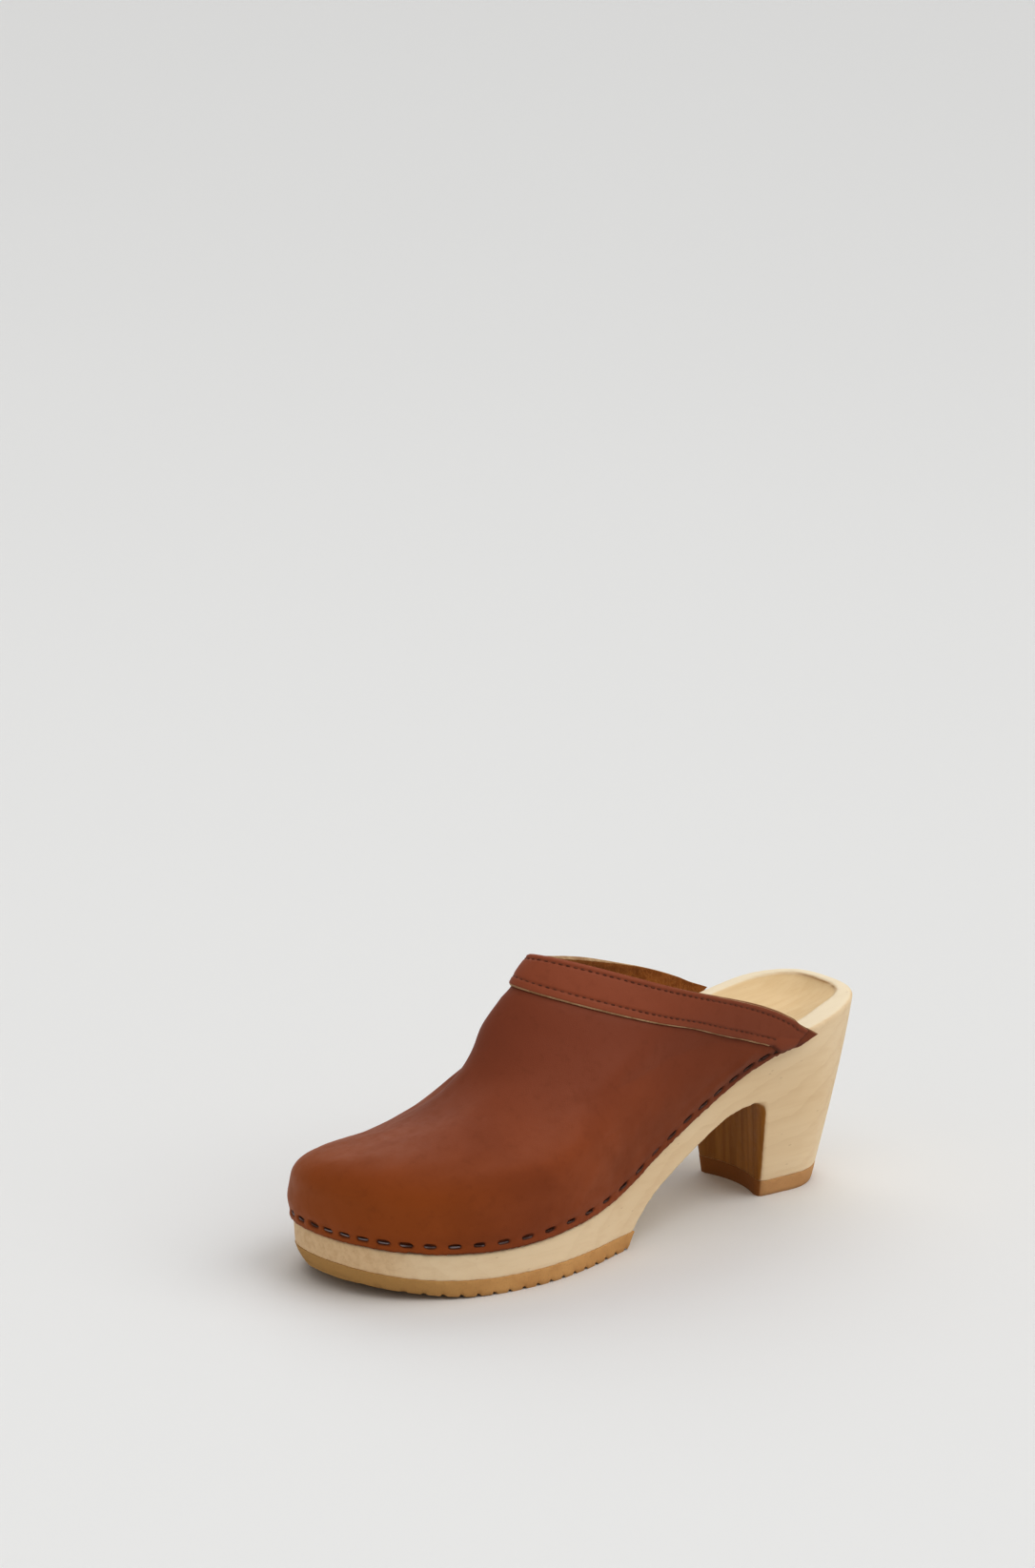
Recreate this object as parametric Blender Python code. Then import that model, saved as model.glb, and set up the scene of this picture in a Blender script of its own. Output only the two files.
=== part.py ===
"""A heeled wooden clog for the left foot: one wooden sole, a stapled leather upper and a sewn collar band.

The toe points to -Y, the outer side of the foot is +X and the floor is z = 0. Lengths in the tables are
millimetres and become metres when a mesh is made. Nothing on the clog moves: the sole is one block of wood,
the upper is stapled round it and the two rubber soles are glued on.
"""
import math

import bmesh
import bpy
import numpy as np
from mathutils import Vector

MM = 0.001

# ---- driving dimensions, mm
RUBBER = 6.2            # thickness of the front outsole and of the heel's top lift
JOINT = 0.3             # gap kept between two pieces that lie on each other
RABBET = 2.4            # depth of the step in the sole's side that takes the leather
LEATHER = 2.0           # thickness of the upper
PROUD = (1.0, 2.1)      # how far the leather stands out of the wood: front, rear ends
BAND_WIDTH, BAND_THICK = 16.0, 1.3   # the collar band, at its widest
TOE_SPRING = 5.0        # lift of the toe off the floor
SPRING_START = -70.0    # where the toe spring starts
WIRE = 1.2              # staple wire
STAPLE_CROWN = 5.2      # length of a staple's crown
STAPLE_UP = 3.0         # height of the staples above the leather's lower edge
THREAD = 0.5            # sewing thread
TOP_ROW, LOW_ROW = 2.4, 3.0   # rows of sewing: below the topline, above the band's lower edge

# plan of the sole, going round from the toe tip by the outer side to the heel and back
OUTLINE = [(-9, -120.8), (15, -117), (32.8, -103.8), (43.5, -80.5), (46.3, -50), (39.9, -18.5), (34.3, 14.5),
           (32.4, 48), (30.6, 82), (26, 101), (14.5, 116.2), (-2, 119.5), (-18, 115.6), (-28.3, 104), (-30.4, 88),
           (-28.4, 50), (-31.5, 15), (-38.8, -22), (-43, -60), (-38.8, -93), (-27.2, -113.5)]
# width of the flat rim round the dished footbed along Y, outer and inner side
RIM_OUTER = [(-120, 6), (60, 6.5), (82, 9), (98, 9.8), (104, 9.2), (109, 8), (113, 6.9), (117, 5.8), (120, 5.2)]
RIM_INNER = [(-120, 6), (60, 6), (97, 6), (107, 5.7), (111, 5.2), (114, 4.8), (117, 4.6), (120, 4.8)]
# how far the sole's side leans in at the floor, by signed length from the toe tip, and its rounding at the toe
LEAN = [(-150, 2), (-120, 0.5), (-45, 0.6), (-22, 1.7), (0, 0.8), (15, 0.2), (125, 0.2), (150, 2)]
TOE_TAPER = 2.4
# heights along Y: top of the rim, and the step on which the leather's lower edge stands
RIM_TOP = [(-122, 28), (-80, 24.8), (-45, 26), (-15, 31), (15, 44), (40, 54.6), (60, 61.5), (83, 64.9),
           (100, 67.2), (120, 70)]
STEP_TOP = [(-122, 20.1), (-80, 16.5), (-62, 16.6), (-45, 17.9), (-27, 19.9), (-15, 23.2), (0, 30.3), (15, 37.8),
            (30, 45), (45, 52), (60, 57.2), (74, 59.4), (84, 61.2), (100, 63.2), (120, 65.5)]
# underside of the waist, from the end of the front rubber back to the heel's breast
ARCH = [(-7.2, 6.2), (2, 15.6), (11.5, 21.7), (23, 27.9), (33, 33), (42, 37.2), (50, 39.1), (57, 39.8)]
BREAST = [(61.2, 39.5), (63.3, 38.4), (64.5, 36.5), (64.9, 34), (65.6, 20), (66.6, 0), (66.9, -6)]
# the heel block on the floor: middle of its front edge, half width, length, turn in degrees
HEEL_AT, HEEL_HALF, HEEL_LONG, HEEL_TURN = (2.6, 66.2), 18.9, 33.6, -3.8
BREAST_HOLLOW = 3.0     # the heel's front face is hollowed
HEEL_CORNER = 2.1       # rounding of its two upright front edges

# the upper: where each curve from the sole's edge up to the topline starts (Y on the sole's plan) and ends.
# -1 is the rear end of the outer side, 0 the toe, 1 the rear end of the inner side.
STATIONS = [-1, -0.8, -0.6, -0.4, -0.2, 0, 0.2, 0.4, 0.6, 0.8, 1]
FOOT_Y = [74, 45, 8, -42, -98, None, -94, -42, 8, 45, 74]
TOPLINE = [(34, 82.5, 63), (35, 62, 76), (34.3, 38, 85.6), (31.5, 13, 94.3), (20.5, -14.5, 104.6), (3, -27, 107.6),
           (-10, -14, 101.3), (-19.5, 9, 94.3), (-27, 33, 86.4), (-31.2, 58, 77), (-33.2, 84.5, 64.9)]
# shape of those curves: share of the way in, and share of the way up, at nine places
INWARD = [(0, .125, .25, .375, .5, .625, .75, .875, 1), (0, .08, .18, .29, .41, .54, .68, .84, 1),
          (0, .01, .04, .10, .2, .34, .53, .75, 1), (0, 0, .015, .07, .17, .32, .53, .76, 1),
          (0, 0, .02, .10, .24, .42, .63, .82, 1), (0, 0, .03, .13, .30, .50, .70, .86, 1),
          (0, 0, .03, .13, .30, .50, .70, .86, 1), (0, 0, .03, .09, .19, .34, .55, .77, 1),
          (0, .01, .04, .10, .2, .34, .53, .75, 1), (0, .08, .18, .29, .41, .54, .68, .84, 1),
          (0, .125, .25, .375, .5, .625, .75, .875, 1)]
UPWARD = [(0, .125, .25, .375, .5, .625, .75, .875, 1), (0, .14, .28, .42, .55, .67, .78, .89, 1),
          (0, .15, .30, .44, .57, .69, .80, .90, 1), (0, .14, .27, .39, .49, .60, .715, .85, 1),
          (0, .14, .24, .335, .405, .49, .62, .82, 1), (0, .127, .225, .297, .338, .409, .56, .82, 1),
          (0, .121, .189, .251, .297, .374, .512, .756, 1), (0, .12, .20, .305, .41, .525, .655, .83, 1),
          (0, .15, .30, .44, .57, .69, .80, .90, 1), (0, .14, .28, .42, .55, .67, .78, .89, 1),
          (0, .125, .25, .375, .5, .625, .75, .875, 1)]
SWELL = [.3, 1.5, 2.5, 3.5, 3.0, 2.5, .8, 1.0, 2, 1.5, .3]   # how far each curve swells outward, mm
# staples: their count on each side of the toe tip and the way along the edge of some of them
STAPLES_OUTER = [(0, 5.6), (5, 43.6), (10, 89), (15, 139), (20, 182), (25, 217)]
STAPLES_INNER = [(0, 2.4), (5, 43.5), (10, 89.5), (15, 137), (20, 173), (24, 198)]

CENTRE = (-2.16, 2.41)  # moves the clog so that the middle of its outer box is over the origin
HALF = 56               # sample pairs round the sole's outline
ACROSS = 6              # cells across the footbed and the bottom


# ---- curves
def natural(points):
    """Natural cubic spline y(x) through points, straight beyond its ends."""
    x, y = np.array(points, float).T
    n, h = len(x), np.diff(x)
    a, b = np.eye(n), np.zeros(n)
    for i in range(1, n - 1):
        a[i, i - 1], a[i, i], a[i, i + 1] = h[i - 1], 2 * (h[i - 1] + h[i]), h[i]
        b[i] = 6 * ((y[i + 1] - y[i]) / h[i] - (y[i] - y[i - 1]) / h[i - 1])
    m = np.linalg.solve(a, b)
    first = (y[1] - y[0]) / h[0] - h[0] * m[1] / 6
    last = (y[-1] - y[-2]) / h[-1] + h[-1] * m[-2] / 6

    def at(v):
        v = np.asarray(v, float)
        i = np.clip(np.searchsorted(x, v) - 1, 0, n - 2)
        t, d = v - x[i], h[i]
        slope = (y[i + 1] - y[i]) / d - d * (2 * m[i] + m[i + 1]) / 6
        inside = y[i] + slope * t + m[i] * t ** 2 / 2 + (m[i + 1] - m[i]) * t ** 3 / (6 * d)
        return np.where(v < x[0], y[0] + (v - x[0]) * first, np.where(v > x[-1], y[-1] + (v - x[-1]) * last, inside))

    return at


def ease(a, b, v):
    t = np.clip((np.asarray(v, float) - a) / (b - a), 0, 1)
    return t * t * (3 - 2 * t)


def resample(p, lengths=None):
    """Cumulative length of a polyline, or its points at the given lengths."""
    s = np.concatenate([[0], np.cumsum(np.linalg.norm(np.diff(p, axis=0), axis=1))])
    if lengths is None:
        return s
    return np.stack([np.interp(lengths, s, c) for c in p.T], -1)


class Plan:
    """The sole's closed plan outline, by length from the toe tip."""

    def __init__(self, points):
        p = np.array(points, float)
        p = np.vstack([p[-4:], p, p[:4]])
        t = np.concatenate([[0], np.cumsum(np.sqrt(np.linalg.norm(np.diff(p, axis=0), axis=1)))])
        v = np.linspace(t[4], t[-4], 2401)
        self.points = np.stack([natural(np.c_[t, c])(v) for c in p.T], 1)
        self.s = resample(self.points)
        self.length = self.s[-1]

    def __call__(self, s):
        s = np.mod(s, self.length)
        return np.stack([np.interp(s, self.s, c) for c in self.points.T], -1)

    def outward(self, s):
        t = self(np.asarray(s) + 1.0) - self(np.asarray(s) - 1.0)
        n = np.stack([t[..., 1], -t[..., 0]], -1)
        return n / np.linalg.norm(n, axis=-1)[..., None]

    def at_y(self, y, side):
        """Length at which the outline passes y on the outer (1) or inner (-1) side, inner side negative."""
        k = (self.points[:, 0] * side > 0) & (np.abs(self.points[:, 1]) < 115)
        s = self.s[k][np.argmin(np.abs(self.points[k, 1] - y))]
        return s if side > 0 else s - self.length


plan = Plan(OUTLINE)
rim_top, step_top = natural(RIM_TOP), natural(STEP_TOP)


def spring(y):
    return TOE_SPRING * np.clip((SPRING_START - np.asarray(y, float)) / 50, 0, None) ** 2


# ---- the sole's plan samples: index 0 is the toe tip, HALF the heel tip, i and -i face each other
HEEL_S = plan.s[np.argmax(plan.points[:, 1])]
S = np.concatenate([np.linspace(0, HEEL_S, HALF + 1), np.linspace(HEEL_S, plan.length, HALF + 1)[1:-1]])
EDGE, OUT = plan(S), plan.outward(S)
WAY = np.where(S > plan.length / 2, S - plan.length, S)     # signed length from the toe tip
TAPER = TOE_TAPER * (1 - ease(45, 68, np.abs(WAY)))
RIM = np.where(WAY > 0, np.interp(EDGE[:, 1], *np.array(RIM_OUTER, float).T),
               np.interp(EDGE[:, 1], *np.array(RIM_INNER, float).T))


def rim_height(x, y):
    """Height of the rim: at the heel its inner side stands a little higher."""
    return rim_top(y) + 0.7 * ease(5, -22, x) * ease(35, 65, y)


def heel_print(share):
    """Floor outline of the heel block, from its outer front corner round the back to the inner one."""
    w, straight = HEEL_HALF, HEEL_LONG - HEEL_HALF
    a = np.linspace(0, math.pi, 49)
    local = np.vstack([[(w, 0)], np.c_[w * np.cos(a), straight + w * np.sin(a)], [(-w, 0)]])
    c, s = math.cos(math.radians(HEEL_TURN)), math.sin(math.radians(HEEL_TURN))
    world = local @ np.array([[c, s], [-s, c]]) + HEEL_AT
    return resample(world, np.asarray(share) * resample(world)[-1])


def floor_points():
    """Where the sole's side wall would reach the floor, for every sample of the outline."""
    inset = np.interp(WAY, *np.array(LEAN, float).T)
    front = -OUT * inset[:, None]
    s_out, s_in = plan.at_y(66, 1), plan.at_y(66, -1) + plan.length
    corner_out = heel_print(0.0) - plan(s_out)
    corner_in = heel_print(1.0) - plan(s_in)
    move = np.zeros_like(EDGE)
    for i, (s, p) in enumerate(zip(S, EDGE)):
        if s_out <= s <= s_in:
            move[i] = heel_print((s - s_out) / (s_in - s_out)) - p
        else:
            w = ease(-5, 66, p[1])
            move[i] = front[i] * (1 - w) + (corner_out if s < s_out else corner_in) * w
    return EDGE + move


FLOOR = floor_points()
RIM_Z, STEP_Z = rim_height(*EDGE.T), step_top(EDGE[:, 1])
STEPPED = 1 - ease(58, 80, EDGE[:, 1])      # 1 where the side is stepped for the leather, 0 behind it


def wall(z):
    """Side wall at height z (one per sample): straight from the rim's edge to the floor print, the rubber rounded
    under at the toe and the back of the heel slightly full."""
    z = np.broadcast_to(z, RIM_Z.shape)
    share = np.clip((RIM_Z - z) / RIM_Z, 0, 1) ** (1 + 0.2 * ease(80, 105, EDGE[:, 1]))
    under = TAPER * np.clip(1 - (z - spring(EDGE[:, 1])) / RUBBER, 0, 1) ** 1.3
    return np.c_[EDGE + (FLOOR - EDGE) * share[:, None] - OUT * under[:, None], z]


# ---- meshes
def add_object(name, verts, faces, material, smooth=True, cutter=False):
    """One named object from millimetre points, its faces turned out."""
    mesh = bpy.data.meshes.new(name)
    mesh.from_pydata([Vector(v) * MM for v in verts], [], [list(f) for f in faces])
    work = bmesh.new()
    work.from_mesh(mesh)
    bmesh.ops.recalc_face_normals(work, faces=work.faces)
    work.to_mesh(mesh)
    work.free()
    mesh.materials.append(material)
    if smooth:
        mesh.shade_smooth()
        mesh.set_sharp_from_angle(angle=math.radians(40))
    obj = bpy.data.objects.new(name, mesh)
    obj.parent = bpy.data.objects["clog"]
    bpy.context.scene.collection.objects.link(obj)
    if cutter:
        obj.hide_render = True
        obj.display_type = "WIRE"
    return obj


def ring_faces(count, rings, start=0):
    """Quads between consecutive closed rings of the same count."""
    faces = []
    for r in range(rings - 1):
        a, b = start + r * count, start + (r + 1) * count
        faces += [(a + i, a + (i + 1) % count, b + (i + 1) % count, b + i) for i in range(count)]
    return faces


def cross_cap(ring, base, height):
    """Closes a ring over the whole plan with rows across it; height(point, share) gives each z."""
    n = len(ring)
    verts, rows = [], [[base]]
    for k in range(1, n // 2):
        a, b = ring[k], ring[n - k]
        row = [base + k]
        for j in range(1, ACROSS):
            u = j / ACROSS
            q = a + (b - a) * u
            row.append(("new", len(verts)))
            verts.append((q[0], q[1], height(q, u, k)))
        row.append(base + n - k)
        rows.append(row)
    rows.append([base + n // 2])
    return verts, rows


def cap_faces(rows, start):
    fix = [[start + v[1] if isinstance(v, tuple) else v for v in row] for row in rows]
    faces = []
    for a, b in zip(fix[:-1], fix[1:]):
        if len(a) == 1:
            faces += [(a[0], b[j], b[j + 1]) for j in range(len(b) - 1)]
        elif len(b) == 1:
            faces += [(a[j], b[0], a[j + 1]) for j in range(len(a) - 1)]
        else:
            faces += [(a[j], b[j], b[j + 1], a[j + 1]) for j in range(len(a) - 1)]
    return faces


def plan_solid(name, rings, top_height, bottom_height, material, cutter=False):
    """A closed body from rings round the sole, first ring on top."""
    count = len(rings[0])
    verts = [tuple(p) for ring in rings for p in ring]
    faces = ring_faces(count, len(rings))
    for ring, base, height in ((rings[0], 0, top_height), (rings[-1], count * (len(rings) - 1), bottom_height)):
        new, rows = cross_cap(np.asarray(ring), base, height)
        faces += cap_faces(rows, len(verts))
        verts += new
    return add_object(name, verts, faces, material, cutter=cutter)


def cut(obj, cutter, name):
    mod = obj.modifiers.new(name, "BOOLEAN")
    mod.operation = "DIFFERENCE"
    mod.solver = "EXACT"
    mod.object = cutter


def material(name, colour, roughness, metallic=0.0):
    mat = bpy.data.materials.new(name)
    mat.use_nodes = True
    shader = mat.node_tree.nodes["Principled BSDF"]
    shader.inputs["Base Color"].default_value = (*colour, 1)
    shader.inputs["Roughness"].default_value = roughness
    shader.inputs["Metallic"].default_value = metallic
    mat.diffuse_color = (*colour, 1)
    return mat


# ---- the wooden sole
def wooden_sole(mat):
    step = RABBET * STEPPED
    outline = lambda inset, z: np.c_[EDGE - OUT * (step + inset)[:, None], np.broadcast_to(z, RIM_Z.shape)]
    flat = np.zeros(len(S))
    low = RUBBER + spring(FLOOR[:, 1])
    rings = [outline(RIM, RIM_Z - 0.5), outline(RIM - 0.5, RIM_Z - 0.05), outline(flat + 2.4, RIM_Z),
             outline(flat + 0.8, RIM_Z - 0.6), outline(flat, RIM_Z - 2.2)]
    foot = outline(flat, STEP_Z + 1.6 * (1 - STEPPED))
    # behind the leather the wall is already on the straight taper
    foot[:, :2] = foot[:, :2] * STEPPED[:, None] + wall(foot[:, 2])[:, :2] * (1 - STEPPED[:, None])
    rings.append(foot)
    rings += [wall(STEP_Z), wall(STEP_Z * 0.67 + low * 0.33), wall(STEP_Z * 0.33 + low * 0.67), wall(low + 0.8)]
    bottom = wall(low)
    bottom[:, :2] -= OUT * 0.6
    rings.append(bottom)

    def footbed(q, u, k):
        depth = 2.4 + 1.6 * ease(50, 90, q[1])
        fade = float(ease(0, 7, min(k, HALF - k)))
        return float(rim_height(q[0], q[1])) - 0.5 - depth * fade * math.sin(math.pi * u) ** 1.25

    return plan_solid("wooden_sole", rings, footbed, lambda q, u, k: RUBBER + float(spring(q[1])), mat)


def arch_cutter(mat):
    """Everything under the waist, back to the hollowed breast of the heel."""
    slope = (ARCH[1][1] - ARCH[0][1]) / (ARCH[1][0] - ARCH[0][0])
    arch = natural(ARCH)
    under = [(y, float(arch(y))) for y in np.linspace(ARCH[0][0], ARCH[-1][0], 17)]
    profile = [(ARCH[0][0] - (ARCH[0][1] + 6) / slope, -6.0)] + under + BREAST
    stations = [-1] + list(np.linspace(-1.12, 1.12, 23)) + [1]
    verts = []
    for j, u in enumerate(stations):
        end = j in (0, len(stations) - 1)
        a = min(abs(u), 1.0)
        shift = BREAST_HOLLOW * max(0.0, 1 - (a / 0.8) ** 2)
        over = max(0.0, a * HEEL_HALF - (HEEL_HALF - HEEL_CORNER))
        shift += HEEL_CORNER - math.sqrt(max(HEEL_CORNER ** 2 - over ** 2, 0))
        for y, z in profile:
            half = HEEL_HALF + 6.6 * max(z, 0) / 36
            x = HEEL_AT[0] + (u * half if not end else u * 70)
            tilt = -math.tan(math.radians(-HEEL_TURN)) * (u * half if not end else u * HEEL_HALF * 1.12)
            w = float(ease(48, 62, y))
            verts.append((x, y + w * (tilt + shift), z))
    n = len(profile)
    faces = []
    for j in range(len(stations) - 1):
        a, b = j * n, (j + 1) * n
        faces += [(a + i, a + (i + 1) % n, b + (i + 1) % n, b + i) for i in range(n)]
    faces += [tuple(range(n)), tuple(range(len(verts) - n, len(verts)))]
    return add_object("arch_cutter", verts, faces, mat, cutter=True)


def box_cutter(name, corners, z0, z1, mat):
    """Prism over a polygon in the Y-Z plane when z0 and z1 are X limits."""
    n = len(corners)
    verts = [(z0, y, z) for y, z in corners] + [(z1, y, z) for y, z in corners]
    faces = [tuple(range(n)), tuple(range(n, 2 * n))]
    faces += [(i, (i + 1) % n, n + (i + 1) % n, n + i) for i in range(n)]
    return add_object(name, verts, faces, mat, smooth=False, cutter=True)


def rubber_body(name, mat):
    """A sheet of rubber under the whole plan, before it is cut to the front or to the heel."""
    lift = spring(FLOOR[:, 1])
    top = wall(RUBBER - JOINT + lift)
    low = wall(0.7 + lift)
    base = wall(lift)
    base[:, :2] -= OUT * 0.5
    return plan_solid(name, [top, low, base], lambda q, u, k: RUBBER - JOINT + float(spring(q[1])),
                      lambda q, u, k: float(spring(q[1])), mat)


# ---- the leather upper
def upper_grid(stations, rows):
    """Points and outward normals of the upper's outer face: stations round, rows from the edge up."""
    feet = [0.0 if y is None else plan.at_y(y, -1 if f > 0 else 1) for f, y in zip(STATIONS, FOOT_Y)]
    s = natural(np.c_[STATIONS, feet])(stations)
    p, n = plan(s), plan.outward(s)
    proud = PROUD[0] + (PROUD[1] - PROUD[0]) * ease(35, 75, p[:, 1])
    foot = np.c_[p + n * proud[:, None], step_top(p[:, 1]) + JOINT]
    top = np.stack([natural(np.c_[STATIONS, c])(stations) for c in np.array(TOPLINE).T], 1)
    inward = np.stack([natural(np.c_[STATIONS, c])(stations) for c in np.array(INWARD).T], 1)
    upward = np.stack([natural(np.c_[STATIONS, c])(stations) for c in np.array(UPWARD).T], 1)
    swell = natural(np.c_[STATIONS, SWELL])(stations)
    places, fine = np.linspace(0, 1, 9), np.linspace(0, 1, 161)
    grid, total = np.zeros((len(stations), len(rows), 3)), np.zeros((len(stations), 1))
    for i in range(len(stations)):
        h, z = natural(np.c_[places, inward[i]])(fine), natural(np.c_[places, upward[i]])(fine)
        rise = (top[i, 2] - foot[i, 2]) * z
        h = h * (1 - (1 - ease(4, 15, rise)) * (1 - ease(0.75, 1, abs(stations[i]))))
        out = swell[i] * np.sin(np.pi * np.clip(fine / .62, 0, 1)) ** 1.2
        q = np.c_[foot[i, :2] + (top[i, :2] - foot[i, :2]) * h[:, None] + n[i] * out[:, None], foot[i, 2] + rise]
        total[i] = resample(q)[-1]
        grid[i] = resample(q, np.asarray(rows) * total[i])
    du, dt = np.gradient(grid, axis=0), np.gradient(grid, axis=1)
    normal = np.cross(dt, du)
    normal /= np.linalg.norm(normal, axis=2)[..., None]
    normal *= np.sign((normal[:, 0, :2] * n).sum())
    # the leather is drawn in a little under the band, most over the instep, and full below it
    f, below_top = np.asarray(stations, float)[:, None], (1 - np.asarray(rows)) * total
    front = np.exp(-((f - 0.05) / 0.17) ** 2)
    drawn = 0.55 * (1 - ease(15, 19, below_top)) * (1 - ease(0.5, 0.7, np.abs(f)))
    drawn = drawn + 0.85 * front * (1 - ease(10, 27, below_top))
    drawn = drawn - 1.3 * np.exp(-((below_top - 31) / 8) ** 2 - ((f - 0.08) / 0.13) ** 2)
    return grid - normal * drawn[..., None], normal


def shell(name, outer, inner, mat):
    """A closed sheet between two grids of the same size."""
    a, b = outer.shape[:2]
    verts = [tuple(p) for g in (outer, inner) for p in g.reshape(-1, 3)]
    at = lambda i, j, k: k * a * b + i * b + j
    faces = []
    for k in (0, 1):
        faces += [(at(i, j, k), at(i + 1, j, k), at(i + 1, j + 1, k), at(i, j + 1, k))
                  for i in range(a - 1) for j in range(b - 1)]
    for i in range(a - 1):
        faces += [(at(i, j, 0), at(i + 1, j, 0), at(i + 1, j, 1), at(i, j, 1)) for j in (0, b - 1)]
    for j in range(b - 1):
        faces += [(at(i, j, 0), at(i, j + 1, 0), at(i, j + 1, 1), at(i, j, 1)) for i in (0, a - 1)]
    return add_object(name, verts, faces, mat)


def tube(name, path, radius, mat, sides=5):
    """Round thread along a path; radius may change from point to point."""
    path = np.asarray(path)
    tangent = np.gradient(path, axis=0)
    tangent /= np.linalg.norm(tangent, axis=1)[:, None]
    up = np.array([0.0, 0.0, 1.0])
    verts = []
    for p, t, r in zip(path, tangent, np.broadcast_to(radius, len(path))):
        a = np.cross(t, up)
        a /= np.linalg.norm(a)
        b = np.cross(a, t)
        verts += [tuple(p + r * (a * math.cos(w) + b * math.sin(w)))
                  for w in np.arange(sides) * 2 * math.pi / sides]
    faces = ring_faces(sides, len(path)) + [tuple(range(sides)), tuple(range(len(verts) - sides, len(verts)))]
    return add_object(name, verts, faces, mat)


def down_from_top(stations, distances, fine=81):
    """Points and normals on the upper's face at given distances below the topline, one list per station."""
    grid, normal = upper_grid(stations, np.linspace(0, 1, fine))
    points, normals = [], []
    for g, n, want in zip(grid[:, ::-1], normal[:, ::-1], distances):
        s = resample(g)
        points.append(np.stack([np.interp(want, s, c) for c in g.T], 1))
        m = np.stack([np.interp(want, s, c) for c in n.T], 1)
        normals.append(m / np.linalg.norm(m, axis=1)[:, None])
    return np.array(points), np.array(normals)


def band_depth(stations):
    """Width of the collar band: less over the instep, towards the rear and where the upper itself gets lower."""
    grid, _ = upper_grid(stations, np.linspace(0, 1, 41))
    height = np.array([resample(g)[-1] for g in grid])
    clear = 1.6 + 5.0 * (1 - ease(0.90, 1.0, np.abs(stations)))
    full = BAND_WIDTH - 3.4 * np.exp(-((stations - 0.1) / 0.17) ** 2) - 2.0 * ease(0.62, 0.84, np.abs(stations))
    return np.minimum(full, np.maximum(height - clear, 4.0))


def staple(name, s, mat):
    """A flat bridge of wire along the sole's edge, its ends turned down to the leather."""
    length = np.array([-0.5, -0.36, 0, 0.36, 0.5]) * STAPLE_CROWN
    lift = np.array([0.0, 0.45, 0.5, 0.45, 0.0]) + JOINT + 0.1
    f = natural(np.c_[FEET_S, FEET_F])(s + length)
    grid, normal = upper_grid(f, np.linspace(0, 1, 161))
    verts = []
    for g, n, up in zip(grid, normal, lift):
        d = resample(g)
        p = np.array([np.interp(STAPLE_UP, d, c) for c in g.T])
        m = np.array([np.interp(STAPLE_UP, d, c) for c in n.T])
        m /= np.linalg.norm(m)
        v = np.array([0, 0, 1]) - m * m[2]
        v /= np.linalg.norm(v)
        w = WIRE / 2
        verts += [tuple(p + m * a + v * b) for a, b in ((up, -w), (up + WIRE, -w * 0.8), (up + WIRE, w * 0.8), (up, w))]
    faces = ring_faces(4, len(length)) + [(0, 1, 2, 3), tuple(range(len(verts) - 4, len(verts)))]
    return add_object(name, verts, faces, mat)


# ---- the clog
for old in list(bpy.data.objects):
    bpy.data.objects.remove(old, do_unlink=True)

clog = bpy.data.objects.new("clog", None)
clog.location = (CENTRE[0] * MM, CENTRE[1] * MM, 0)
bpy.context.scene.collection.objects.link(clog)

WOOD = material("alder_wood", (0.66, 0.49, 0.30), 0.6)
HIDE = material("tan_leather", (0.20, 0.055, 0.025), 0.42)
BAND = material("band_leather", (0.23, 0.065, 0.03), 0.42)
SOLE_RUBBER = material("sole_rubber", (0.32, 0.17, 0.075), 0.8)
HEEL_RUBBER = material("heel_rubber", (0.34, 0.19, 0.09), 0.8)
STEEL = material("staple_steel", (0.20, 0.16, 0.13), 0.35, 1.0)
COTTON = material("brown_thread", (0.05, 0.02, 0.015), 0.7)

arch = arch_cutter(WOOD)
rear = box_cutter("rear_cutter", [(-14.7, -8), (-10.2, 0), (-6.6, 6), (-2.2, 13), (-2.2, 60), (160, 60), (160, -8)], -70, 70, WOOD)
front = box_cutter("front_cutter", [(-160, -8), (-160, 60), (20, 60), (20, -8)], -70, 70, WOOD)

sole = wooden_sole(WOOD)
cut(sole, arch, "waist")
outsole = rubber_body("front_outsole", SOLE_RUBBER)
cut(outsole, rear, "rear_end")
lift = rubber_body("heel_top_lift", HEEL_RUBBER)
cut(lift, front, "front_away")
cut(lift, arch, "breast")

ROUND, UP_ROWS = np.linspace(-1, 1, 85), np.linspace(0, 1, 19)
face, face_normal = upper_grid(ROUND, UP_ROWS)
shell("leather_upper", face, face - face_normal * LEATHER, HIDE)

BAND_ROUND = np.linspace(-0.985, 0.985, 73)
depth = band_depth(BAND_ROUND)
strip, strip_normal = down_from_top(BAND_ROUND, [np.linspace(0, d, 5) for d in depth])
shell("collar_band", strip + strip_normal * (JOINT + BAND_THICK), strip + strip_normal * JOINT, BAND)

for row_name, below, limit in (("stitching_top", None, 0.975), ("stitching_lower", LOW_ROW, 0.90)):
    at = np.linspace(-limit, limit, 121)
    wide = band_depth(at)
    want = [[TOP_ROW] if below is None else [d - below] for d in wide]
    q, m = down_from_top(at, want)
    pitch = np.where(np.arange(len(at)) % 2 == 0, THREAD / 2, THREAD / 3)
    tube(row_name, (q + m * (2 * JOINT + BAND_THICK + THREAD / 2))[:, 0], pitch, COTTON, sides=4)

feet = [0.0 if y is None else plan.at_y(y, -1 if f > 0 else 1) for f, y in zip(STATIONS, FOOT_Y)]
dense = np.linspace(-1, 1, 41)
run = natural(np.c_[STATIONS, feet])(dense)
FEET_S, FEET_F = run[::-1], dense[::-1]
outer_at, inner_at = natural(STAPLES_OUTER), natural(STAPLES_INNER)
places = [-float(inner_at(k)) for k in range(24, -1, -1)] + [float(outer_at(k)) for k in range(26)]
for k, s in enumerate(places):
    staple(f"staple_{k + 1:02d}", s, STEEL)
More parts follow.
